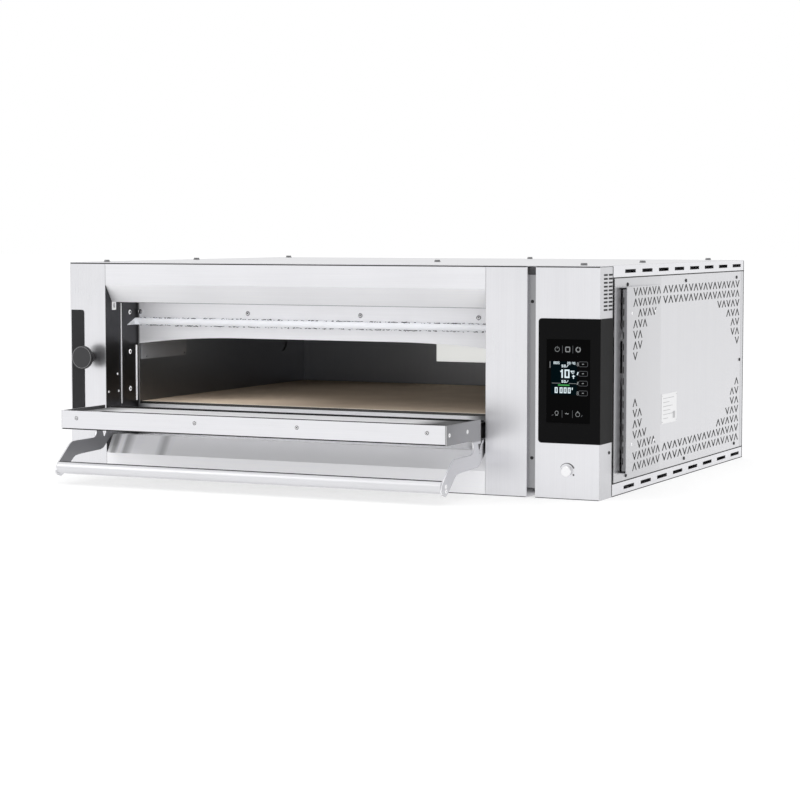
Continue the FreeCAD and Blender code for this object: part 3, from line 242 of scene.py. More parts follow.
def levels(tree, axis, stops):
    """Grey levels that change along one axis of the part; stops are (place in millimetres, level)."""
    low, high = stops[0][0], stops[-1][0]
    middle = ORIGIN[axis]
    parts = put(tree, "SeparateXYZ", Vector=put(tree, "TexCoord").outputs["Object"])
    share = put(tree, "MapRange", Value=parts.outputs[axis], From_Min=(low - middle) * MM,
                From_Max=(high - middle) * MM).outputs["Result"]
    ramp = put(tree, "ValToRGB", Fac=share)
    elements = ramp.color_ramp.elements
    for place, level in stops[1:-1]:
        elements.new((place - low) / (high - low)).color = grey(level)
    elements[0].color, elements[-1].color = grey(stops[0][1]), grey(stops[-1][1])
    return ramp.outputs[0]


def colour_source(tree):
    """A material's shader and the output that gives its colour."""
    shader = next(node for node in tree.nodes if node.type == "BSDF_PRINCIPLED")
    return shader, shader.inputs["Base Color"].links[0].from_socket


def paint_shade_by_facing(material, painted_tone, axis, sense, name, past=0.6, above=None, stops=None):
    """Paints shade or light by facing: gives the faces that look along an axis the colour painted_tone with
    the same grain; sense 0 means both ways. above keeps it to what is higher, and stops paint shade along X."""
    tree = material.node_tree
    shader, source = colour_source(tree)
    normal = put(tree, "SeparateXYZ", Vector=put(tree, "NewGeometry").outputs["True Normal"])
    along = normal.outputs[axis]
    along = calc(tree, "MULTIPLY", along, sense) if sense else calc(tree, "ABSOLUTE", along)
    facing = calc(tree, "GREATER_THAN", along, past)
    if above is not None:
        place = put(tree, "SeparateXYZ", Vector=put(tree, "TexCoord").outputs["Object"])
        facing = calc(tree, "MULTIPLY", facing, calc(tree, "GREATER_THAN", place.outputs[Z], above * MM))
    grain = source.node.inputs[MIX_B].links[0].from_socket
    second = multiplied(tree, (*painted_tone, 1), grain)
    if stops:
        second = multiplied(tree, second, levels(tree, X, stops))
    mixed = put(tree, "Mix", {"data_type": "RGBA"}, Factor=facing)
    connect(tree, mixed.inputs[MIX_A], source)
    connect(tree, mixed.inputs[MIX_B], second)
    connect(tree, shader.inputs["Base Color"], mixed.outputs[MIX_RESULT])
    material.name = name
    return material


def shaded(material, axis, stops, name):
    """Paints shade: multiplies a material's colour by levels that change along one axis of the part."""
    tree = material.node_tree
    shader, source = colour_source(tree)
    connect(tree, shader.inputs["Base Color"], multiplied(tree, source, levels(tree, axis, stops)))
    material.name = name
    return material


def glow_material(name, colour, strength):
    """Lit print: an even colour that fades slightly from place to place."""
    material, tree, shader = new_material(name)
    drift = spread(tree, cloud(tree, 60.0), 0.85 * strength, 1.1 * strength)
    feed(tree, shader, Base_Color=(0, 0, 0, 1), Roughness=0.6, Specular_IOR_Level=0.0,
         Emission_Color=(*colour, 1), Emission_Strength=drift)
    return material


# Painted light and shade: the stainless pieces are one metal, drawn as lit and shaded copies in greys from
# 0.26 (chamber), 0.30 (gap channel) and 0.36 (baffle) through 0.60 to 0.67 (rear and sides) and 0.77 (posts
# and column) to 0.95 (mouth frame, apron and jambs).
STEEL_TINT = (0.77, 0.77, 0.795)
SHADOW_TINT = (0.07, 0.07, 0.075)
STEEL_X = brushed("stainless_brushed_across", STEEL_TINT, corner_shade=0.4)
# Painted shade: faces that look up are darker.
TOP_STEEL = paint_shade_by_facing(brushed("cover", STEEL_TINT, along="Y", corner_shade=0.4, smudge=0.08, rough=0.34),
                     (0.66, 0.66, 0.68), Z, 1, "stainless_cover")
# Painted shade: the rear and the left side are darker copies of the steel.
REAR_STEEL = brushed("stainless_rear", (0.60, 0.60, 0.62), smudge=0.08, rough=0.36, corner_shade=0.4)
LEFT_SIDE = brushed("stainless_left_side", (0.62, 0.62, 0.64), along="Z", rough=0.34, smudge=0.07)
# Painted shade: the right side is a darker copy, and darker still towards the front along the scoop.
STEEL_SIDE = shaded(brushed("side", (0.67, 0.67, 0.69), along="Z", rough=0.34), Y,
                    [(90, 0.84), (312, 0.93), (320, 1.0)], "stainless_side")
LEFT_POST, RIGHT_POST = [
    paint_shade_by_facing(brushed("post", STEEL_TINT, along="Z", corner_shade=0.4), SHADOW_TINT, X, inwards, name)
    for inwards, name in ((1, "left_post_steel"), (-1, "right_post_steel"))]
# Painted shade: faces that look right are darker.
COLUMN = paint_shade_by_facing(brushed("column", STEEL_TINT, along="Z", corner_shade=0.4), (0.60, 0.60, 0.62), X, 1,
                  "column_steel")
# Painted shade: the left arm's face that looks right is dark above 26 mm.
ARM_DARK = paint_shade_by_facing(brushed("arm", (0.86, 0.86, 0.88), rough=0.38, along="Y", corner_shade=0.55),
                    (0.30, 0.30, 0.31), X, 1, "left_arm_steel", above=26)
# Painted shade: the right arm's faces that look right are a little darker, and the whole arm is halved in
# brightness above 97 mm.
ARM_LIGHT = shaded(paint_shade_by_facing(brushed("arm", (0.88, 0.88, 0.90), rough=0.34, along="Y", corner_shade=0.5),
                            (0.74, 0.74, 0.76), X, 1, "arm"), Z,
                   [(94, 1.0), (97, 0.5)], "right_arm_steel")
# Painted light: the lintel's downward faces are paler.
LINTEL = paint_shade_by_facing(brushed("lintel", (0.80, 0.80, 0.825), rough=0.55, metallic=0.5, corner_shade=0.3),
                  (0.97, 0.97, 0.99), Z, -1, "stainless_lintel", past=0.2)
# Painted shade: the mouth frame is near black left of 82.4 mm and right of 851 mm.
MOUTH = shaded(brushed("mouth", (0.93, 0.93, 0.95), rough=0.55, metallic=0.3), X,
               [(60, 0.12), (82.4, 0.12), (84, 1.0), (849, 1.0), (851, 0.12)], "stainless_mouth_frame")
# Painted light and reflections: the apron glows faintly, its upward faces are paler, and dark streaks along X
# near its left end are painted reflections.
APRON = paint_shade_by_facing(brushed("apron", (0.95, 0.95, 0.97), rough=0.5, metallic=0.2, emission=0.05),
                 (0.97, 0.97, 0.99), Z, 1, "stainless_apron", past=0.2,
                 stops=[(78, 1.0), (87, 0.34), (93, 0.34), (100, 1.0), (107, 1.0), (113, 0.45), (118, 0.5),
                        (132, 0.95), (180, 1.0), (195, 0.55), (200, 0.6), (208, 0.9), (222, 1.0)])
# Painted shade: the sill darkens towards both ends.
SILL = shaded(brushed("sill", (0.92, 0.92, 0.94), rough=0.5, metallic=0.4), X,
              [(60, 0.15), (84, 0.2), (110, 1.0), (770, 1.0), (800, 0.15)], "stainless_sill")
# Painted shade: the door's faces that look right are dark.
DOOR_STEEL = paint_shade_by_facing(brushed("door", (0.78, 0.78, 0.805), corner_shade=0.35), (0.29, 0.29, 0.30),
                      X, 1, "door_steel")
# Painted shade: the gap channel is a dark copy of the steel.
CHANNEL = brushed("gap_channel", (0.30, 0.30, 0.31), rough=0.3, along="Z")
# Painted shade: faces that look straight up are near black, a dark line along the top of the handle bar and
# the rods.
POLISHED = paint_shade_by_facing(brushed("polished", (0.74, 0.74, 0.76), rough=0.45, lines=0.03),
                    (0.10, 0.10, 0.105), Z, 1, "stainless_polished", past=0.87)
# Painted shade: the jambs' faces that look sideways are near black.
MIRROR = paint_shade_by_facing(brushed("jamb", (0.95, 0.95, 0.96), rough=0.3, along="Z", lines=0.03, bump=0.03),
                  (0.085, 0.085, 0.09), X, 0, "stainless_recess")
# Painted shade: the chamber's steel is a dark copy.
CHAMBER = brushed("stainless_chamber", (0.255, 0.26, 0.275), rough=0.34, along="Z", lines=0.06, bump=0.03)
DARK_STEEL = brushed("steel_heat_darkened", (0.10, 0.098, 0.094), rough=0.42)
FRAME_GREY = brushed("steel_grey", (0.30, 0.30, 0.305), rough=0.35)
HEATER = brushed("heater_sheath", (0.10, 0.09, 0.085), rough=0.5, smudge=0.15)
ZINC = plain("bright_fastener", (0.74, 0.74, 0.75), 0.24, metallic=1.0, relief=0.02)
BOLT_GREY = plain("bolt_grey", (0.22, 0.22, 0.225), 0.35, metallic=1.0, relief=0.02)
BLACK_OXIDE = plain("dark_fastener", (0.05, 0.05, 0.052), 0.34, metallic=0.8, relief=0.02)
# Near black: painted shade in the fasteners' recesses, hollows and gaps.
RECESS = plain("fastener_recess", (0.012, 0.012, 0.012), 0.7)
STONE = stone_material()
WOOL = plain("mineral_wool", (0.62, 0.56, 0.38), 0.95, relief=0.9, scale=260.0, wear=0.2)
# Painted shadow: grey flecks on the rope's top and bottom edges.
ROPE_SHADOW = plain("rope_painted_shadow", (0.16, 0.16, 0.165), 0.9, relief=0.4, scale=900.0)
# Painted light: the rope glows faintly.
ROPE = plain("glass_fibre_rope", (0.93, 0.94, 0.97), 0.9, relief=0.6, scale=900.0, wear=0.06, emission=0.14)
SATIN_BLACK = plain("satin_black", (0.036, 0.036, 0.038), 0.42, relief=0.03, gloss=0.06)
PANEL_BLACK = plain("control_panel_black", (0.0062, 0.0062, 0.0065), 0.36, relief=0.02, scale=900.0,
                    gloss=0.03)
KNOB_BLACK = plain("knob_black", (0.024, 0.024, 0.026), 0.36, relief=0.08, scale=1200.0, gloss=0.25)
MOULDED_GREY = plain("moulded_grey", (0.20, 0.21, 0.22), 0.5)
BOARD_GREEN = plain("circuit_board", (0.01, 0.09, 0.035), 0.45)
DISPLAY = plain("display_glass", (0.0009, 0.0009, 0.0010), 0.06, relief=0.0, edge=0.0003, gloss=0.03)
SATIN_WHITE = brushed("selector_satin", (0.90, 0.90, 0.91), rough=0.32, lines=0.02)
PLATE = brushed("plate_aluminium", (0.82, 0.82, 0.83), rough=0.42, along="Y", lines=0.01, smudge=0.01)
PRINT_GREY = plain("printed_grey", (0.06, 0.06, 0.062), 0.6, relief=0.0)
PRINT_PALE = plain("printed_pale", (0.22, 0.22, 0.23), 0.6, relief=0.0)
# Painted shade: the retainer darkens towards both ends.
RETAINER = shaded(brushed("retainer", (0.74, 0.74, 0.75), rough=0.6, metallic=0.0, gloss=0.0), X,
                  [(60, 0.2), (100, 0.3), (150, 1.0), (740, 1.0), (790, 0.2)], "glass_retainer")
# Painted highlight: the stones' front edge is paler and glows.
PALE_STONE = plain("fireclay_edge", (0.86, 0.77, 0.66), 0.9, relief=0.5, wear=0.1, emission=0.12)
# Painted shade: the baffle is a dark copy of the steel.
BAFFLE = brushed("scoop_baffle", (0.36, 0.36, 0.37), rough=0.4, along="Z")
LIT_COVER = brushed("chamber_cover", (0.26, 0.265, 0.28), rough=0.5, along="Z", metallic=0.2)
PLATE_PRINT = plain("plate_print", (0.50, 0.50, 0.51), 0.6, relief=0.0)
# Painted highlight: a pale finish that glows, on the recess edges, the mouth's rolled lip, bright screws,
# rivets and catches.
EDGE_HIGHLIGHT = plain("folded_edge_highlight", (0.93, 0.93, 0.94), 0.35, emission=0.22)
KNOB_FACE = plain("knob_face", (0.035, 0.035, 0.038), 0.45, gloss=0.4)
# Painted highlight: the bright ring round the knob's face.
KNOB_RIM = plain("knob_rim", (0.20, 0.20, 0.205), 0.3, gloss=0.6)
# Black for real seals, and for painted shade in the louvres, the slots and along the casing's foot.
SEAL_AND_SHADE = plain("black_seal_and_shade", (0.02, 0.02, 0.02), 0.6, gloss=0.2)
DOOR_GLASS = glass_material("door_glass", (0.74, 0.75, 0.75))
LAMP_GLASS = plain("lamp_glass", (0.85, 0.86, 0.84), 0.3, coat=0.4, emission=0.75)
WHITE_PRINT = glow_material("display_white", (0.82, 0.95, 1.0), 0.95)
ICON_PRINT = glow_material("display_icons", (0.60, 0.62, 0.63), 0.42)
DIM_PRINT = glow_material("display_outline", (0.30, 0.31, 0.33), 0.3)
GREEN_PRINT = glow_material("display_green", (0.10, 0.55, 0.14), 0.6)
SCREEN_TINT = glow_material("display_screen", (0.05, 0.22, 0.30), 0.022)

FINISHES = {
    STEEL_X: "partition_wall steam_duct fan_housing din_rail",
    TOP_STEEL: "base_pan top_cover",
    REAR_STEEL: "rear_panel rear_flanges flue_collar",
    COLUMN: "control_column",
    LEFT_SIDE: "left_side_panel",
    STEEL_SIDE: "right_side_panel",
    LEFT_POST: "left_post",
    RIGHT_POST: "right_post",
    ARM_DARK: "door_arm_left",
    ARM_LIGHT: "door_arm_right",
    DOOR_STEEL: "door_skin",
    CHANNEL: "channel_strip",
    POLISHED: "handle_bar damper_rod thermocouple",
    MIRROR: "left_jamb right_jamb",
    LINTEL: "top_fascia",
    APRON: "bottom_fascia",
    SILL: "sill_plate",
    MOUTH: "mouth_frame",
    CHAMBER: "chamber_shell chamber_back lamp_housing damper_plate",
    DARK_STEEL: "stone_rails hinge_brackets",
    FRAME_GREY: "door_inner_frame",
    HEATER: "top_heaters bottom_heaters",
    ZINC: "casing_fasteners door_screws",
    STONE: "baking_stone_left baking_stone_right",
    WOOL: "insulation_bottom insulation_top insulation_walls door_core",
    SATIN_BLACK: "left_trim",
    PANEL_BLACK: "control_bezel",
    KNOB_BLACK: "damper_knob cable_gland fan_rotor selector_switch",
    MOULDED_GREY: "contactors terminal_block",
    BOARD_GREEN: "control_board",
    DISPLAY: "display_glass",
    SATIN_WHITE: "selector_knob",
    DOOR_GLASS: "door_inner_pane door_outer_pane",
    LAMP_GLASS: "lamp_lens lamp_bulb",
}
for finish, names in FINISHES.items():
    for name in names.split():
        data = NODES[name].data
        data.materials.clear()
        data.materials.append(finish)


# ---------- small shapes, in millimetres ----------

CROSS_ARM = 0.28  # half the width of a cross recess's arm, over its length


def ring_angles():
    """Angles of a turned shape's points, with extra ones at the corners of a cross recess."""
    arm = math.atan(CROSS_ARM)
    between = (arm + math.pi / 4) / 2
    quarter = [0, arm, between, math.pi / 4, math.pi / 2 - between, math.pi / 2 - arm]
    return [quarter_turn * math.pi / 2 + angle for quarter_turn in range(4) for angle in quarter]


ANGLES = ring_angles()


def cross(length):
    """The outline of a cross recess: its reach at each angle."""
    def reach(angle):
        angle = angle % (math.pi / 2)
        angle = min(angle, math.pi / 2 - angle)
        in_arm = math.tan(angle) <= CROSS_ARM + 0.001
        return length / math.cos(angle) if in_arm else CROSS_ARM * length / math.sin(angle)
    return reach


def hexagon(flat):
    """The outline of a hexagon that is flat from its middle to each side."""
    def reach(angle):
        return flat / math.cos((angle + math.pi / 6) % (math.pi / 3) - math.pi / 6)
    return reach


def turned(rings):
    """A shape about Z from (reach, height) rings, capped on the last; a reach is a number or an outline."""
    verts, faces, count = [], [], len(ANGLES)
    for reach, height in rings:
        for angle in ANGLES:
            r = reach(angle) if callable(reach) else reach
            verts.append((r * math.cos(angle), r * math.sin(angle), height))
    for k in range(len(rings) - 1):
        for i in range(count):
            j = (i + 1) % count
            faces.append((k * count + i, k * count + j, (k + 1) * count + j, (k + 1) * count + i))
    faces.append(tuple(range((len(rings) - 1) * count, len(rings) * count)))
    return verts, faces


# A fastener gives its head, its recess and, on washered, its cup.

def pan_head(radius, rise):
    slot = cross(radius * 0.62)
    return turned([(radius, 0), (radius, rise * 0.35), (radius * 0.93, rise * 0.75), (radius * 0.8, rise),
                   (slot, rise)]), turned([(slot, rise), (slot, rise * 0.25)])


def washered(radius, rise):
    """A countersunk head in a bright cup washer, with a dark gap between them as painted shade."""
    slot = radius * 0.42
    body = turned([(radius * 0.98, rise * 0.3), (radius * 0.92, rise * 0.8), (radius * 0.8, rise),
                   (slot, rise)])
    cup = turned([(radius * 1.5, 0), (radius * 1.48, rise * 0.5), (radius * 1.35, rise * 0.8),
                  (radius * 1.15, rise * 0.3)])
    return body, turned([(slot, rise), (slot, rise * 0.3)]), cup


def socketed(radius, rise):
    """A domed head with a deep round socket."""
    return turned([(radius, 0), (radius, rise * 0.4), (radius * 0.8, rise), (radius * 0.5, rise)]), turned(
        [(radius * 0.5, rise), (radius * 0.47, rise * 0.2)])


def rivet(radius, rise):
    """A blind rivet with a hollow middle."""
    hole = radius * 0.36
    return turned([(radius, 0), (radius * 0.95, rise * 0.4), (radius * 0.75, rise * 0.75),
                   (radius * 0.45, rise * 0.95), (hole, rise)]), turned(
                       [(hole, rise), (radius * 0.33, rise * 0.4)])


def hex_bolt(flat, rise):
    """A hexagon head on a flange, with a small dimple in its top."""
    flange, dimple = flat + 1.6, 2.2
    return turned([(flange, 0), (flange, 0.5), (flat + 1.3, 0.7), (hexagon(flat), 0.7),
                   (hexagon(flat), rise - 0.7), (flat * 0.97, rise), (dimple, rise)]), turned(
                       [(dimple, rise), (dimple - 0.3, rise - 0.6)])


def plate(corners, low, high):
    """A flat prism from an outline of (a, b) corners."""
    count = len(corners)
    verts = [(a, b, low) for a, b in corners] + [(a, b, high) for a, b in corners]
    faces = [tuple(range(count - 1, -1, -1)), tuple(range(count, 2 * count))]
    faces += [(i, (i + 1) % count, count + (i + 1) % count, count + i) for i in range(count)]
    return verts, faces


def window(outer, inner, low, high):
    """A flat rectangular ring, given by (a0, b0, a1, b1) rectangles."""
    verts = []
    for a0, b0, a1, b1 in (outer, inner):
        for height in (low, high):
            verts += [(a0, b0, height), (a1, b0, height), (a1, b1, height), (a0, b1, height)]
    faces = []
    for i in range(4):
        j = (i + 1) % 4
        faces += [(i, j, 4 + j, 4 + i), (8 + j, 8 + i, 12 + i, 12 + j), (4 + i, 4 + j, 12 + j, 12 + i),
                  (j, i, 8 + i, 8 + j)]
    return verts, faces


def tube(points, radius, sides=6):
    """A round tube through points; radius is a number or a list with one for each point."""
    verts, faces = [], []
    for k, point in enumerate(points):
        ahead = points[min(k + 1, len(points) - 1)] - points[max(k - 1, 0)]
        side = ahead.cross(Vector((0, 0, 1)))
        side = side.normalized() if side.length > 1e-6 else Vector((1, 0, 0))
        up = side.cross(ahead).normalized()
        r = radius[k] if isinstance(radius, list) else radius
        for i in range(sides):
            angle = 2 * math.pi * i / sides
            verts.append(point + (side * math.cos(angle) + up * math.sin(angle)) * r)
    for k in range(len(points) - 1):
        for i in range(sides):
            j = (i + 1) % sides
            faces.append((k * sides + i, k * sides + j, (k + 1) * sides + j, (k + 1) * sides + i))
    faces += [tuple(range(sides - 1, -1, -1)), tuple(range((len(points) - 1) * sides, len(points) * sides))]
    return verts, faces


TURNED = {
    "X+": Matrix(((0, 0, 1), (0, 1, 0), (-1, 0, 0))),
    "X-": Matrix(((0, 0, -1), (0, 1, 0), (1, 0, 0))),
    "Y+": Matrix(((1, 0, 0), (0, 0, 1), (0, -1, 0))),
    "Y-": Matrix(((1, 0, 0), (0, 0, -1), (0, 1, 0))),
    "Z+": Matrix.Identity(3),
}


class Cluster:
    """Small shapes gathered into one piece. A shape's own Z can be turned to face along an axis, and its
    mark picks one of the finishes."""

    def __init__(self, *finishes):
        self.finishes, self.verts, self.faces, self.marks = finishes, [], [], []

    def add(self, shape, x=0, y=0, z=0, facing="Z+", spin=0.0, mark=0):
        turn = TURNED[facing] @ Matrix.Rotation(spin, 3, "Z")
        start, middle = len(self.verts), Vector((x, y, z))
        self.verts += [at(*(middle + turn @ Vector(v))) for v in shape[0]]
        self.faces += [tuple(start + i for i in face) for face in shape[1]]
        self.marks += [mark] * len(shape[1])

    def block(self, xs, ys, zs, mark=0):
        corners = [(xs[0], ys[0]), (xs[1], ys[0]), (xs[1], ys[1]), (xs[0], ys[1])]
        self.add(plate(corners, zs[0], zs[1]), mark=mark)

    def make(self, name, body, slot, *stands_for, smooth=40):
        mesh = bpy.data.meshes.new(name)
        mesh.from_pydata(self.verts, [], self.faces)
        for finish in self.finishes:
            mesh.materials.append(finish)
        mesh.polygons.foreach_set("material_index", self.marks)
        work = bmesh.new()
        work.from_mesh(mesh)
        bmesh.ops.recalc_face_normals(work, faces=work.faces)
        work.to_mesh(mesh)
        work.free()
        mesh.shade_smooth()
        mesh.set_sharp_from_angle(angle=math.radians(smooth))
        piece = bpy.data.objects.new(name, mesh)
        bpy.context.scene.collection.objects.link(piece)
        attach(piece, body)
        if stands_for:
            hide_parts(*stands_for)


SLOTS = {part["node"]: part["material_slot"] for part in frame["record"]["subparts"]}  # by CAD node
RECESS_LEFT, RECESS_RIGHT = 77.6, 855.0  # the posts' faces on the recess
JAMB_LEFT, JAMB_RIGHT = 79.7, 852.9  # the recess liners' faces
CHAMBER_LEFT = 82.2  # the chamber's left wall
MOUTH_FRONT = 110  # the front of the frame round the chamber's mouth
DOOR_FRONT = -156.5  # the open door's front edge
ARM_LEFT = corners_of("door_arm_left")[0][X]
ARM_RIGHT = corners_of("door_arm_right")[1][X]
SCOOP_OUT, SCOOP_BACK, SCOOP_LENGTH = 12, 318, 218
SCREW_HEAD = pan_head(3.4, 1.6)


# ---------- fasteners ----------

def screw(cluster, shapes, x, y, z, facing, spin=0.4, dark=1):
    """Adds a fastener, with its recess and the gap round it in the dark finish as painted shade. A head's cap
    would cover the recess, so it is left out."""
    (head, head_faces), recess, *cups = shapes
    cluster.add((head, head_faces[:-1]), x, y, z, facing, spin)
    cluster.add(recess, x, y, z, facing, spin, mark=dark)
    for cup, cup_faces in cups:
        reach = cup[0][0]
        cluster.add((cup, cup_faces[:-1]), x, y, z, facing, spin)
        # Painted shade: a dark ring in the gap between the cup and the head.
        cluster.add(turned([(reach * 0.8, 0.05), (reach * 0.6, 0.06)]), x, y, z, facing, mark=dark)


def casing_screws():
    """The casing's fasteners, as four pieces."""
    chance = random.Random(4)
    slot = SLOTS["casing_fasteners"]

    skin = Cluster(BLACK_OXIDE, RECESS)
    for y, z in ((135, 366), (458, 366), (779, 366), (804, 200), (132, 31.4), (455, 31.8), (773, 33)):
        screw(skin, SCREW_HEAD, WIDTH, y, z, "X+", chance.uniform(0, 1.5))
        screw(skin, SCREW_HEAD, 0, y, z, "X-", chance.uniform(0, 1.5))
    for x in (16, 370, 700, 1050):
        for z in (12, 388):
            screw(skin, SCREW_HEAD, x, DEPTH, z, "Y+", chance.uniform(0, 1.5))
    screw(skin, pan_head(3, 1.2), WIDTH, 47, 78.8, "X+", 0.5)
    for z in (338, 68):
        screw(skin, pan_head(3.0, 1.2), 938.8, 8, z, "Y-", chance.uniform(0, 1.5))
    skin.make("skin_screws", "casing", slot, "casing_fasteners")

    mouth = Cluster(ZINC, RECESS)
    for x in (86, 322, 558, 794):
        screw(mouth, washered(3.2, 1.2), x, MOUTH_FRONT, 304, "Y-", chance.uniform(0, 1.5))
    mouth.make("mouth_screws", "casing", slot)

    # These fasteners glow: painted highlight.
    bright = Cluster(EDGE_HIGHLIGHT, RECESS)
    for z in (304, 228.5, 157.5):
        screw(bright, socketed(4.6, 0.9), JAMB_LEFT, 82, z, "X+", chance.uniform(0, 1.5))
        screw(bright, socketed(4.6, 0.9), JAMB_RIGHT, 82, z, "X-", chance.uniform(0, 1.5))
    for y, z in ((130, 316), (276, 314.5), (132, 86.5), (274, 82)):
        on_scoop = WIDTH + SCOOP_OUT - (y - 104) / (SCOOP_BACK - 104) * SCOOP_OUT
        screw(bright, rivet(2.4, 1.2), on_scoop, y, z, "X+")
    for face, facing in ((RECESS_LEFT, "X+"), (RECESS_RIGHT, "X-")):
        for y, z in ((39.8, 188), (8.9, 155.7), (43.6, 155.2)):
            screw(bright, rivet(2.2, 1.4), face, y, z, facing)
        catch = window((-8, -6, 8, 6), (-4.5, -3, 4.5, 3), 0, 1.8)
        bright.add(catch, face, 28.5, 318, facing)
    bright.make("recess_fasteners", "casing", slot)

    top = Cluster(BOLT_GREY, RECESS)
    for x, y in ((50, 50), (620, 314), (1017, 50), (1006, 384), (50, 384), (50, 780), (620, 780), (1006, 780)):
        screw(top, hex_bolt(5.0, 4.0), x, y, HEIGHT, "Z+", chance.uniform(0, 1))
    top.make("cover_bolts", "casing", slot)


def leaf_screws():
    """The screws in the door's front edge and in the outer faces of its arms."""
    # The arm screws glow: painted highlight.
    heads, pins = Cluster(ZINC, RECESS), Cluster(EDGE_HIGHLIGHT, RECESS)
    for x in (114, 362, 567, 815):
        screw(heads, washered(2.7, 1.2), x, DOOR_FRONT, 119.5, "Y-", x * 0.37)
    for y, z in ((-146, 116), (-70.8, 116), (-160.5, 31), (-159.5, 22.5)):
        screw(pins, washered(2.4, 0.7), ARM_RIGHT, y, z, "X+", y * 0.21)
        screw(pins, washered(2.4, 0.7), ARM_LEFT, y, z, "X-", y * 0.21)
    heads.make("leaf_screws", "door", SLOTS["door_screws"], "door_screws")
    pins.make("arm_screws", "door", SLOTS["door_screws"])


# ---------- woven seal ----------

ROPE_AXIS, ROPE_BACK = 105.0, 109.8  # the seal's middle, and the frame that it lies against
STRANDS, STRAND_TURN = 7, 31  # strands wound each way, and the length of one turn
STRAND_POINTS = 46 / 3  # points on one turn of a strand


def patch(cluster, points, mark=0):
    """One flat four-cornered face."""
    cluster.add((points, [(0, 1, 2, 3)]), mark=mark)


def woven_rope():
    """A shaggy braided seal: strands wound both ways round a core, flattened at the back, with loose
    fibres, grey flecks along its top and bottom edges as painted shadow, and a frayed left end."""
    chance = random.Random(11)
    (left, _, bottom), (right, _, top) = corners_of("rope_gasket")
    middle = (bottom + top) / 2
    rope = Cluster(ROPE, ROPE_SHADOW)

    def settle(point):
        return Vector((point.x, min(point.y, ROPE_BACK), point.z))

    def settled_tube(points, radius, sides):
        verts, faces = tube(points, radius, sides)
        rope.add(([settle(v) for v in verts], faces))

    def core():
        steps = 60
        points = [Vector((left + 1 + (right - left - 2) * k / steps, ROPE_AXIS, middle))
                  for k in range(steps + 1)]
        settled_tube(points, 5.2, 12)

    def strand(number, hand):
        phase, points, radii = 2 * math.pi * number / STRANDS, [], []
        count = int((right - left) / STRAND_TURN * STRAND_POINTS)
        for k in range(count + 1):
            x = left + 1.8 + (right - left - 3.6) * k / count
            angle = phase + hand * 2 * math.pi * (x - left) / STRAND_TURN
            weave = 5.25 + 0.35 * math.sin(7 * angle * hand + 2 * phase) + chance.uniform(-0.2, 0.2)
            points.append(Vector((x, ROPE_AXIS + weave * math.cos(angle), middle + weave * math.sin(angle))))
            radii.append(1.45 + chance.uniform(-0.25, 0.25))
        settled_tube(points, radii, 6)

    def loose_fibre():
        x, angle = chance.uniform(left + 2, right - 2), chance.uniform(math.pi * 0.35, math.pi * 1.65)
        start = Vector((x, ROPE_AXIS + 6.2 * math.cos(angle), middle + 6.2 * math.sin(angle)))
        out = Vector((chance.uniform(-1.6, 1.6), math.cos(angle), math.sin(angle))).normalized()
        reach = chance.uniform(0.6, 1.6)
        tip = start + out * reach + Vector((chance.uniform(-2, 2), 0, chance.uniform(-0.4, 0.4)))
        side = Vector((chance.uniform(-1, 1), 0, chance.uniform(-1, 1))).normalized() * 0.28
        patch(rope, [start - side, start + side, tip + side * 0.3, tip - side * 0.3])

    # Painted shadow: a grey fleck on the rope's top or bottom edge.
    def shadow_fleck():
        x, edge = chance.uniform(left + 4, right - 2), chance.choice((1, -1))
        z, y = middle + edge * chance.uniform(6.2, 7.6), ROPE_AXIS - 2
        reach, half, lean = chance.uniform(0.8, 2.4), chance.uniform(0.4, 0.9), chance.uniform(-1.2, 1.2)
        patch(rope, [Vector((x - reach, y, z - half)), Vector((x + reach, y, z - half + lean)),
                     Vector((x + reach, y, z + half + lean)), Vector((x - reach, y, z + half))], mark=1)

    def frayed_fibre():
        share = chance.uniform(0, 1)
        start = Vector((left + 4, ROPE_AXIS + chance.uniform(-6, 2), middle + chance.uniform(-6, 6)))
        turn = Vector((JAMB_LEFT + chance.uniform(0.3, 0.7), start.y - 1, start.z))
        tip = Vector((turn.x, start.y - 30 * share ** 1.5,
                      middle - 6.5 + chance.uniform(0, 12.5) * (1 - share)))
        side = Vector((0.05, 0.4, 0.55))
        for near, far, taper in ((start, turn, 1.0), (turn, tip, 0.2)):
            patch(rope, [settle(v) for v in (near - side, near + side, far + side * taper,
                                             far - side * taper)])

    core()
    for hand in (1, -1):
        for number in range(STRANDS):
            strand(number, hand)
    for make_one, count in ((loose_fibre, 2600), (shadow_fleck, 430), (frayed_fibre, 420)):
        for _ in range(count):
            make_one()
    rope.make("woven_rope_seal", "casing", SLOTS["rope_gasket"], "rope_gasket", smooth=80)


# ---------- control panel ----------

SEGMENTS = {"a": ((0, 2), (1, 2)), "b": ((1, 2), (1, 1)), "c": ((1, 1), (1, 0)), "d": ((0, 0), (1, 0)),
            "e": ((0, 1), (0, 0)), "f": ((0, 2), (0, 1)), "g": ((0, 1), (1, 1))}
DIGITS = {"0": "abcdef", "1": "bc", "2": "abged", "4": "fgbc", "5": "afgcd", "8": "abcdefg"}
PRINT_Y, SCREEN_Y = -1.46, -1.42  # just in front of the display's glass
WHITE, ICON, DIM, GREEN, SCREEN = range(5)
SOFT_KEYS = (232.8, 216.7, 200.0, 183.3)


def stroke(cluster, points, width, mark=WHITE):
    """A flat printed line through (x, z) points on the display."""
    for (x0, z0), (x1, z1) in zip(points, points[1:]):
        along = Vector((x1 - x0, 0, z1 - z0))
        if along.length < 1e-6:
            continue
        along.normalize()
        side, over = Vector((-along.z, 0, along.x)) * width / 2, along * width / 2
        a, b = Vector((x0, PRINT_Y, z0)) - over, Vector((x1, PRINT_Y, z1)) + over
        patch(cluster, [a - side, b - side, b + side, a + side], mark)


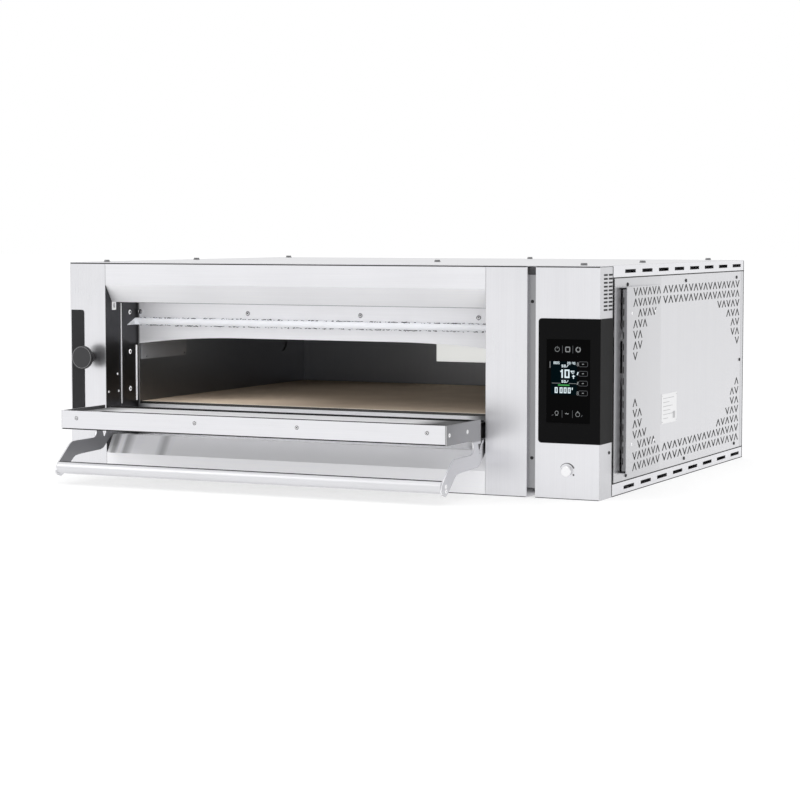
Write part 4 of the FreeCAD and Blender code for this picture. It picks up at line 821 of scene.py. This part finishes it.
def round_icon(cluster, x, z, radius, width, start=0, end=360, mark=WHITE):
    """A printed arc between two angles in degrees."""
    steps = 20
    points = []
    for k in range(steps + 1):
        angle = math.radians(start + (end - start) * k / steps)
        points.append((x + radius * math.cos(angle), z + radius * math.sin(angle)))
    stroke(cluster, points, width, mark)


def digits(cluster, text, x, z, wide, high, width):
    """Seven-segment figures whose lower left corner is at (x, z)."""
    for figure in text:
        for name in DIGITS.get(figure, ""):
            (x0, z0), (x1, z1) = SEGMENTS[name]
            stroke(cluster, [(x + x0 * wide, z + z0 * high / 2), (x + x1 * wide, z + z1 * high / 2)], width)
        if figure == ":":
            for share in (0.3, 0.7):
                stroke(cluster, [(x, z + high * share - 0.1), (x, z + high * share + 0.1)], width)
        if figure == "'":
            stroke(cluster, [(x, z + high), (x, z + high * 0.75)], width)
        x += wide * (0.7 if figure in ":' " else 1.0) + width * 2.1


def outline(cluster, x, z, wide, high, corner, width, mark):
    """A printed rectangle with rounded corners, about its middle."""
    points = []
    for cx, cz, first in ((x + wide / 2 - corner, z + high / 2 - corner, 0),
                          (x - wide / 2 + corner, z + high / 2 - corner, 90),
                          (x - wide / 2 + corner, z - high / 2 + corner, 180),
                          (x + wide / 2 - corner, z - high / 2 + corner, 270)):
        for k in range(4):
            angle = math.radians(first + 30 * k)
            points.append((cx + corner * math.cos(angle), cz + corner * math.sin(angle)))
    stroke(cluster, points + points[:1], width, mark)


def display_marks():
    """The lit screen: two rows of touch icons, figures between them, and four soft keys."""
    marks = Cluster(WHITE_PRINT, ICON_PRINT, DIM_PRINT, GREEN_PRINT, SCREEN_TINT)
    left, right, low, high = 977.5, 1025, 180, 237
    patch(marks, [(left, SCREEN_Y, low), (right, SCREEN_Y, low), (right, SCREEN_Y, high),
                  (left, SCREEN_Y, high)], SCREEN)
    # upper row
    round_icon(marks, 988.5, 257.5, 4.0, 0.8, 115, 425, mark=ICON)
    stroke(marks, [(988.5, 259), (988.5, 262.4)], 0.8, ICON)
    outline(marks, 1007.7, 257.5, 7.4, 7.8, 1.6, 1.7, ICON)
    round_icon(marks, 1026.8, 257.5, 3.8, 1.9, 100, 400, mark=ICON)
    stroke(marks, [(1029.4, 261.5), (1031, 258.6)], 1.2, ICON)
    # lower row
    round_icon(marks, 988, 148.6, 3.0, 0.9, -50, 230, mark=ICON)
    stroke(marks, [(986.6, 144.6), (989.4, 144.6)], 1.6, ICON)
    stroke(marks, [(1004.2, 147.6), (1006, 148.2), (1007.6, 147), (1009.4, 147.6)], 1.4, ICON)
    round_icon(marks, 1026.5, 146.8, 3.7, 0.8, mark=ICON)
    stroke(marks, [(1022.8, 147.5), (1026.5, 152.4), (1030.2, 147.5)], 0.8, ICON)
    stroke(marks, [(979.6, 144), (981.6, 145)], 1.1, DIM)
    stroke(marks, [(1033.2, 143.4), (1034.6, 145.4)], 1.3, DIM)
    for x in (998, 1017):
        stroke(marks, [(x, 251.5), (x, 263.5)], 0.9, DIM)
        stroke(marks, [(x, 141), (x, 153)], 0.9, DIM)
    # figures
    digits(marks, "20:45", 1007.5, 232.4, 1.6, 3.6, 0.75)
    digits(marks, "1805", 980.5, 232.4, 1.8, 3.6, 0.75)
    stroke(marks, [(975.5, 236), (975.5, 226)], 1.2, ICON)
    for z in (227.4, 200.9):
        digits(marks, "50", 997.2, z, 2.3, 3.4, 1.0)
        stroke(marks, [(1006, z), (1008.6, z + 3.4)], 1.0)
    digits(marks, "1", 992.6, 210, 5.2, 12, 2.6)
    stroke(marks, [(995.4, 219.6), (997.8, 221.8)], 2.0)
    digits(marks, "0", 1003.4, 210, 6.6, 12, 2.6)
    stroke(marks, [(1013.5, 220.6), (1019.5, 220.6)], 1.5)
    stroke(marks, [(1014.5, 219.5), (1016.5, 216.8), (1019.5, 218)], 1.2)
    stroke(marks, [(1016.5, 211.6), (1020.5, 212.2)], 1.4)
    stroke(marks, [(1018.2, 213.6), (1018.6, 208.4)], 1.6)
    stroke(marks, [(979.5, 199.4), (994.5, 199.4)], 0.8, ICON)
    stroke(marks, [(1010.5, 199.4), (1023.5, 199.4)], 0.8, ICON)
    stroke(marks, [(991.5, 196.3), (1010, 196.3)], 2.4, GREEN)
    digits(marks, "0", 985.2, 183.4, 3.6, 8.2, 1.8)
    digits(marks, "000'", 994.2, 183.4, 3.6, 8.2, 1.8)
    # soft keys
    for n, z in enumerate(SOFT_KEYS):
        outline(marks, 1036, z, 16, 8.4, 2.2, 0.8, DIM)
        stroke(marks, [(1034.6, z), (1036.6, z + 0.2)], 1.5, ICON)
        if n in (0, len(SOFT_KEYS) - 1):
            round_icon(marks, 1026.2, z + 1.4, 1.2, 0.9, mark=ICON)
            round_icon(marks, 1026.2, z - 1.6, 1.5, 0.9, mark=ICON)
        else:
            stroke(marks, [(1025.4, z - 1.6), (1026.6, z + 1.8)], 1.9, WHITE if n == 1 else ICON)
    marks.make("display_marks", "casing", SLOTS["display_glass"], smooth=10)


def dial_print():
    """The scale printed round the selector: an arc that grows thicker, and a dot."""
    ink = Cluster(PRINT_PALE, PRINT_GREY)
    x, y, z, radius = 1007, -0.04, 48.6, 13.6
    first, sweep, steps = 155, 132, 30

    def edge_points(share):
        """The inner and outer points of the arc at a share of its length."""
        angle, half = math.radians(first - sweep * share), 0.35 + 1.0 * share
        return [(x + (radius + reach) * math.cos(angle), y, z + (radius + reach) * math.sin(angle))
                for reach in (-half, half)]

    for k in range(steps):
        (inner, outer), (next_inner, next_outer) = edge_points(k / steps), edge_points((k + 1) / steps)
        patch(ink, [inner, next_inner, next_outer, outer], mark=1 if k / steps > 0.55 else 0)
    around = [math.radians(30 * i) for i in range(12)]
    spot = [(1019 + 1.7 * math.cos(angle), y, 42.6 + 1.7 * math.sin(angle)) for angle in around]
    ink.add((spot, [tuple(range(12))]), mark=1)
    ink.make("dial_print", "casing", SLOTS["control_column"], smooth=10)


# ---------- plates, frames and seams ----------

def side_plate():
    """A blank riveted data plate on the right side, with ruled lines and no lettering."""
    out = Cluster(PLATE, PLATE_PRINT, RECESS)
    y0, y1, z0, z1 = 322, 408, 106, 161
    face = WIDTH + 0.5
    ink = (face, face + 0.05)
    out.block((WIDTH, face), (y0, y1), (z0, z1))
    for k, length in enumerate((62, 36, 54, 42, 58, 28)):
        z = z1 - 9 - 7.4 * k
        out.block(ink, (y0 + 8, y0 + 8 + length), (z, z + 1.1), mark=1)
    out.block(ink, (y0 + 64, y0 + 78), (z0 + 7, z0 + 20), mark=1)
    for y in (y0 + 3.5, y1 - 3.5):
        for z in (z0 + 3.5, z1 - 3.5):
            screw(out, rivet(1.6, 0.8), face, y, z, "X+", dark=2)
    out.make("data_plate", "casing", SLOTS["right_side_panel"])


def glass_retainer():
    """The thin frame round the door's inner pane with its black seal and lip, and the dark line along the
    leaf's lower edge."""
    (x0, y0, _), (x1, y1, top) = corners_of("door_inner_pane")
    opening = (x0 + 34, y0 + 22, x1 - 34, y1 - 94)
    seal_inside = (x0 + 38, y0 + 26, x1 - 38, y1 - 98)
    holder = Cluster(RETAINER, SEAL_AND_SHADE)
    holder.add(window((x0 + 0.5, y0 + 0.5, x1 - 0.5, y1 - 0.5), opening, top + 0.02, top + 1.0))
    holder.add(window(opening, seal_inside, top + 0.02, top + 0.5), mark=1)
    holder.block((x0 + 3, x1 - 3), (y1 - 18, y1 - 6), (top + 1.0, top + 3.4), mark=1)
    holder.block((84, 848.6), (DOOR_FRONT - 0.2, DOOR_FRONT + 0.3), (98.9, 100.9), mark=1)
    holder.make("glass_retainer", "door", SLOTS["door_inner_frame"])


def cover_seal():
    """The black seal above the front sheets, a black strip below them that is a painted contact shadow, and a
    grey painted shadow line under the lintel.
    """
    strip = Cluster(SEAL_AND_SHADE, MOULDED_GREY)
    # Painted shadow line under the lintel's lip.
    strip.block((80, 852.5), (MOUTH_FRONT - 0.8, MOUTH_FRONT - 0.1), (321.0, 322.6), mark=1)
    # The strip from 0.2 to 1.3 mm is a painted contact shadow; the one at the top is a seal.
    for zs in ((396.8, 398.8), (0.2, 1.3)):
        for xs in ((1, 931), (949, 1065)):
            strip.block(xs, (-0.12, 0.3), zs)
    strip.make("cover_seal", "casing", SLOTS["left_trim"])


def side_seals():
    """Black seals in the joints of both sides, and a black strip along their foot that is a painted contact
    shadow.
    """
    lines = Cluster(SEAL_AND_SHADE)
    for xs in ((WIDTH - 0.3, WIDTH + 0.3), (-0.3, 0.3)):
        for z in (21.6, 377.4):
            lines.block(xs, (62, DEPTH - 1), (z, z + 1.9))
        # Painted contact shadow along the foot.
        lines.block(xs, (62, DEPTH - 1), (0.2, 1.5))
        lines.block(xs, (60.2, 62.1), (2, 398))
        lines.block(xs, (DEPTH - 3.6, DEPTH - 2.2), (2, 398))
    lines.make("side_seals", "casing", SLOTS["left_trim"])


def louvre_shade_and_baffle():
    """Black sheets behind the louvres and the column's slots, painted shade where the openings are dark,
    and the scoop's baffle with its row of black slots, also painted shade."""
    shade_and_baffle = Cluster(SEAL_AND_SHADE, BAFFLE)
    outer, inner, thin = WIDTH + SCOOP_OUT - 0.4, WIDTH - 0.4, 0.3
    shade_and_baffle.add(plate([(outer, 104), (inner, SCOOP_BACK), (inner, 810), (inner - thin, 810),
                     (inner - thin, SCOOP_BACK), (outer - thin, 105)], 40, 359))
    shade_and_baffle.block((WIDTH - 0.6, WIDTH - 0.35), (6, 56), (296, 392))
    shade_and_baffle.block((WIDTH + 1.6, WIDTH + 11.2), (106, 106.8), (41, 358), mark=1)
    for k in range(15):
        shade_and_baffle.block((WIDTH + 3, WIDTH + 4.6), (105.7, 106), (52 + 20 * k, 64 + 20 * k))
    shade_and_baffle.make("louvre_shade_and_baffle", "casing", SLOTS["left_trim"])


LOUVRE_HALF = ((0, 7), (1.8, 7), (14.0, -7), (8.6, -7), (0, 2.8))  # half a chevron's outline
LOUVRE_PITCH, LOUVRE_ROW, LOUVRE_TOP, LOUVRE_BOTTOM = 29.66, 18.8, 352.7, 45.3
ON_SCOOP = ((0, 6), (0, 6), (1, 5), (0, 3), (0, 2), (0, 2), (0, 1))  # each row's columns, from the edge in
ON_PANEL = ((0, 16), (0, 16), (11, 16), (13, 16), (14, 16), (14, 16), (15, 16))


def louvre_painted_shade():
    """Painted shade round the punched chevrons on the service panel and its scoop, drawn as black outlines."""
    slot_shade = Cluster(SEAL_AND_SHADE)

    def on_skin(y, z):
        return WIDTH + SCOOP_OUT * max(0, SCOOP_BACK - y) / SCOOP_LENGTH + 0.07, y, z

    for top in (True, False):
        for row in range(len(ON_SCOOP)):
            z = LOUVRE_TOP - LOUVRE_ROW * row if top else LOUVRE_BOTTOM + LOUVRE_ROW * row
            for start, columns, shift in ((152, ON_SCOOP[row], 0), (341, ON_PANEL[row], 1)):
                for column in range(*columns):
                    y = start + LOUVRE_PITCH * column
                    sign = 1 if ((row + column + shift) % 2 == 1) == top else -1
                    for side in (1, -1):
                        points = [on_skin(y + a * side, z + b * sign) for a, b in LOUVRE_HALF]
                        slot_shade.add((points, [(0, 1, 2, 3, 4)]))
    slot_shade.make("louvre_painted_shade", "casing", SLOTS["right_side_panel"], smooth=10)


def bright_edges():
    """Painted highlights: glowing strips on the folded edges of the recess walls and on the rolled lip at the
    sides of the mouth.
    """
    edges = Cluster(EDGE_HIGHLIGHT)
    for x0, x1 in ((77.7, 79.6), (853.0, 854.9)):
        edges.block((x0, x1), (52.8, 53.3), (131, 322))
    for x0, x1 in ((79.7, 80.3), (852.3, 852.9)):
        edges.block((x0, x1), (102, 106.5), (134, 240))
    edges.make("recess_edge_highlights", "casing", SLOTS["left_jamb"])


def knob_face():
    """The dished cap in the damper knob's face and the fine bright line round it, a painted highlight."""
    (x0, front, z0), (x1, _, z1) = corners_of("damper_knob")
    x, z = (x0 + x1) / 2, (z0 + z1) / 2
    cap = Cluster(KNOB_RIM, KNOB_FACE)
    cap.add(turned([(20.6, 0), (20.5, 0.25), (19.7, 0.3), (19.4, 0.05)]), x, front + 0.2, z, "Y-")
    cap.add(turned([(19.4, 0), (18.6, 0.12), (10, 0.06), (3, 0.04)]), x, front, z, "Y-", mark=1)
    cap.make("damper_knob_cap", "damper", SLOTS["damper_knob"])


def stone_edge():
    """The paler front edge of the two stones, which glows: a painted highlight."""
    edge = Cluster(PALE_STONE)
    for x0, x1 in ((84.4, 465.6), (467, 848.2)):
        edge.block((x0, x1), (117.3, 118.6), (130.2, 132.2))
    edge.make("stone_edge", "casing", SLOTS["baking_stone_left"])


def chamber_plate():
    """A paler cover plate on the chamber's left wall, held by two screws."""
    face = CHAMBER_LEFT + 0.8
    cover = Cluster(LIT_COVER, BLACK_OXIDE, RECESS)
    cover.block((CHAMBER_LEFT, face), (116, 286), (212, 250))
    for y in (136, 278):
        screw(cover, pan_head(2.2, 0.8), face, y, 217, "X+", dark=2)
    cover.make("chamber_cover_plate", "casing", SLOTS["chamber_shell"])


casing_screws()
leaf_screws()
woven_rope()
display_marks()
dial_print()
side_plate()
glass_retainer()
cover_seal()
side_seals()
louvre_shade_and_baffle()
louvre_painted_shade()
bright_edges()
knob_face()
stone_edge()
chamber_plate()


# ---------- studio ----------

def studio():
    """A white room with a paper floor, two softboxes and three faint fills in the oven's mouth."""
    scene = bpy.context.scene
    scene.view_settings.view_transform = "Standard"
    world = bpy.data.worlds.new("studio")
    scene.world = world
    world.use_nodes = True
    tree = world.node_tree
    ahead = put(tree, "SeparateXYZ", Vector=put(tree, "TexCoord").outputs["Generated"]).outputs["Y"]
    level = put(tree, "MapRange", Value=ahead, From_Min=-1.0, From_Max=0.2, To_Min=0.86,
                To_Max=1.0).outputs["Result"]
    feed(tree, tree.nodes["Background"], Color=(1, 1, 1, 1), Strength=level)

    mesh = bpy.data.meshes.new("floor")
    reach = 30
    around = [(-reach, -reach, 0), (reach, -reach, 0), (reach, reach, 0), (-reach, reach, 0)]
    mesh.from_pydata(around, [], [(0, 1, 2, 3)])
    floor = bpy.data.objects.new("floor", mesh)
    scene.collection.objects.link(floor)
    paper = plain("studio_paper", (0.42, 0.42, 0.42), 0.9, relief=0.0, wear=0.0, emission=1.43)
    mesh.materials.append(paper)

    def softbox(name, place, target, size, power, seen=True):
        light = bpy.data.lights.new(name, "AREA")
        light.shape = "RECTANGLE"
        light.size, light.size_y = size
        light.energy = power
        lamp = bpy.data.objects.new(name, light)
        lamp.location = place
        lamp.rotation_euler = (Vector(target) - Vector(place)).to_track_quat("-Z", "Y").to_euler()
        lamp.visible_glossy = seen
        scene.collection.objects.link(lamp)

    softbox("key", (-2.4, -3.0, 2.3), (0, -0.2, 0.2), (1.6, 1.6), 16)
    softbox("top", (0.3, -0.2, 3.2), (0, 0, 0), (2.4, 2.4), 18)
    softbox("chamber", at(466, 400, 297), at(466, 400, 0), (0.6, 0.5), 0.13, seen=False)
    softbox("hearth", at(230, 150, 246), at(220, 165, 132), (0.3, 0.04), 0.11, seen=False)
    softbox("mouth", at(466, 60, 330), at(466, 140, 200), (0.72, 0.03), 0.06, seen=False)


def camera():
    """A long lens at the oven's right, a little above it."""
    data = bpy.data.cameras.new("camera")
    data.lens, data.sensor_width = 101.86, 36
    data.clip_end = 100
    cam = bpy.data.objects.new("camera", data)
    cam.location = (1.8696, -4.021, 0.4628)
    cam.rotation_euler = Euler((math.radians(90 - 4.328), 0, math.radians(25.398)))
    bpy.context.scene.collection.objects.link(cam)
    bpy.context.scene.camera = cam


camera()
studio()
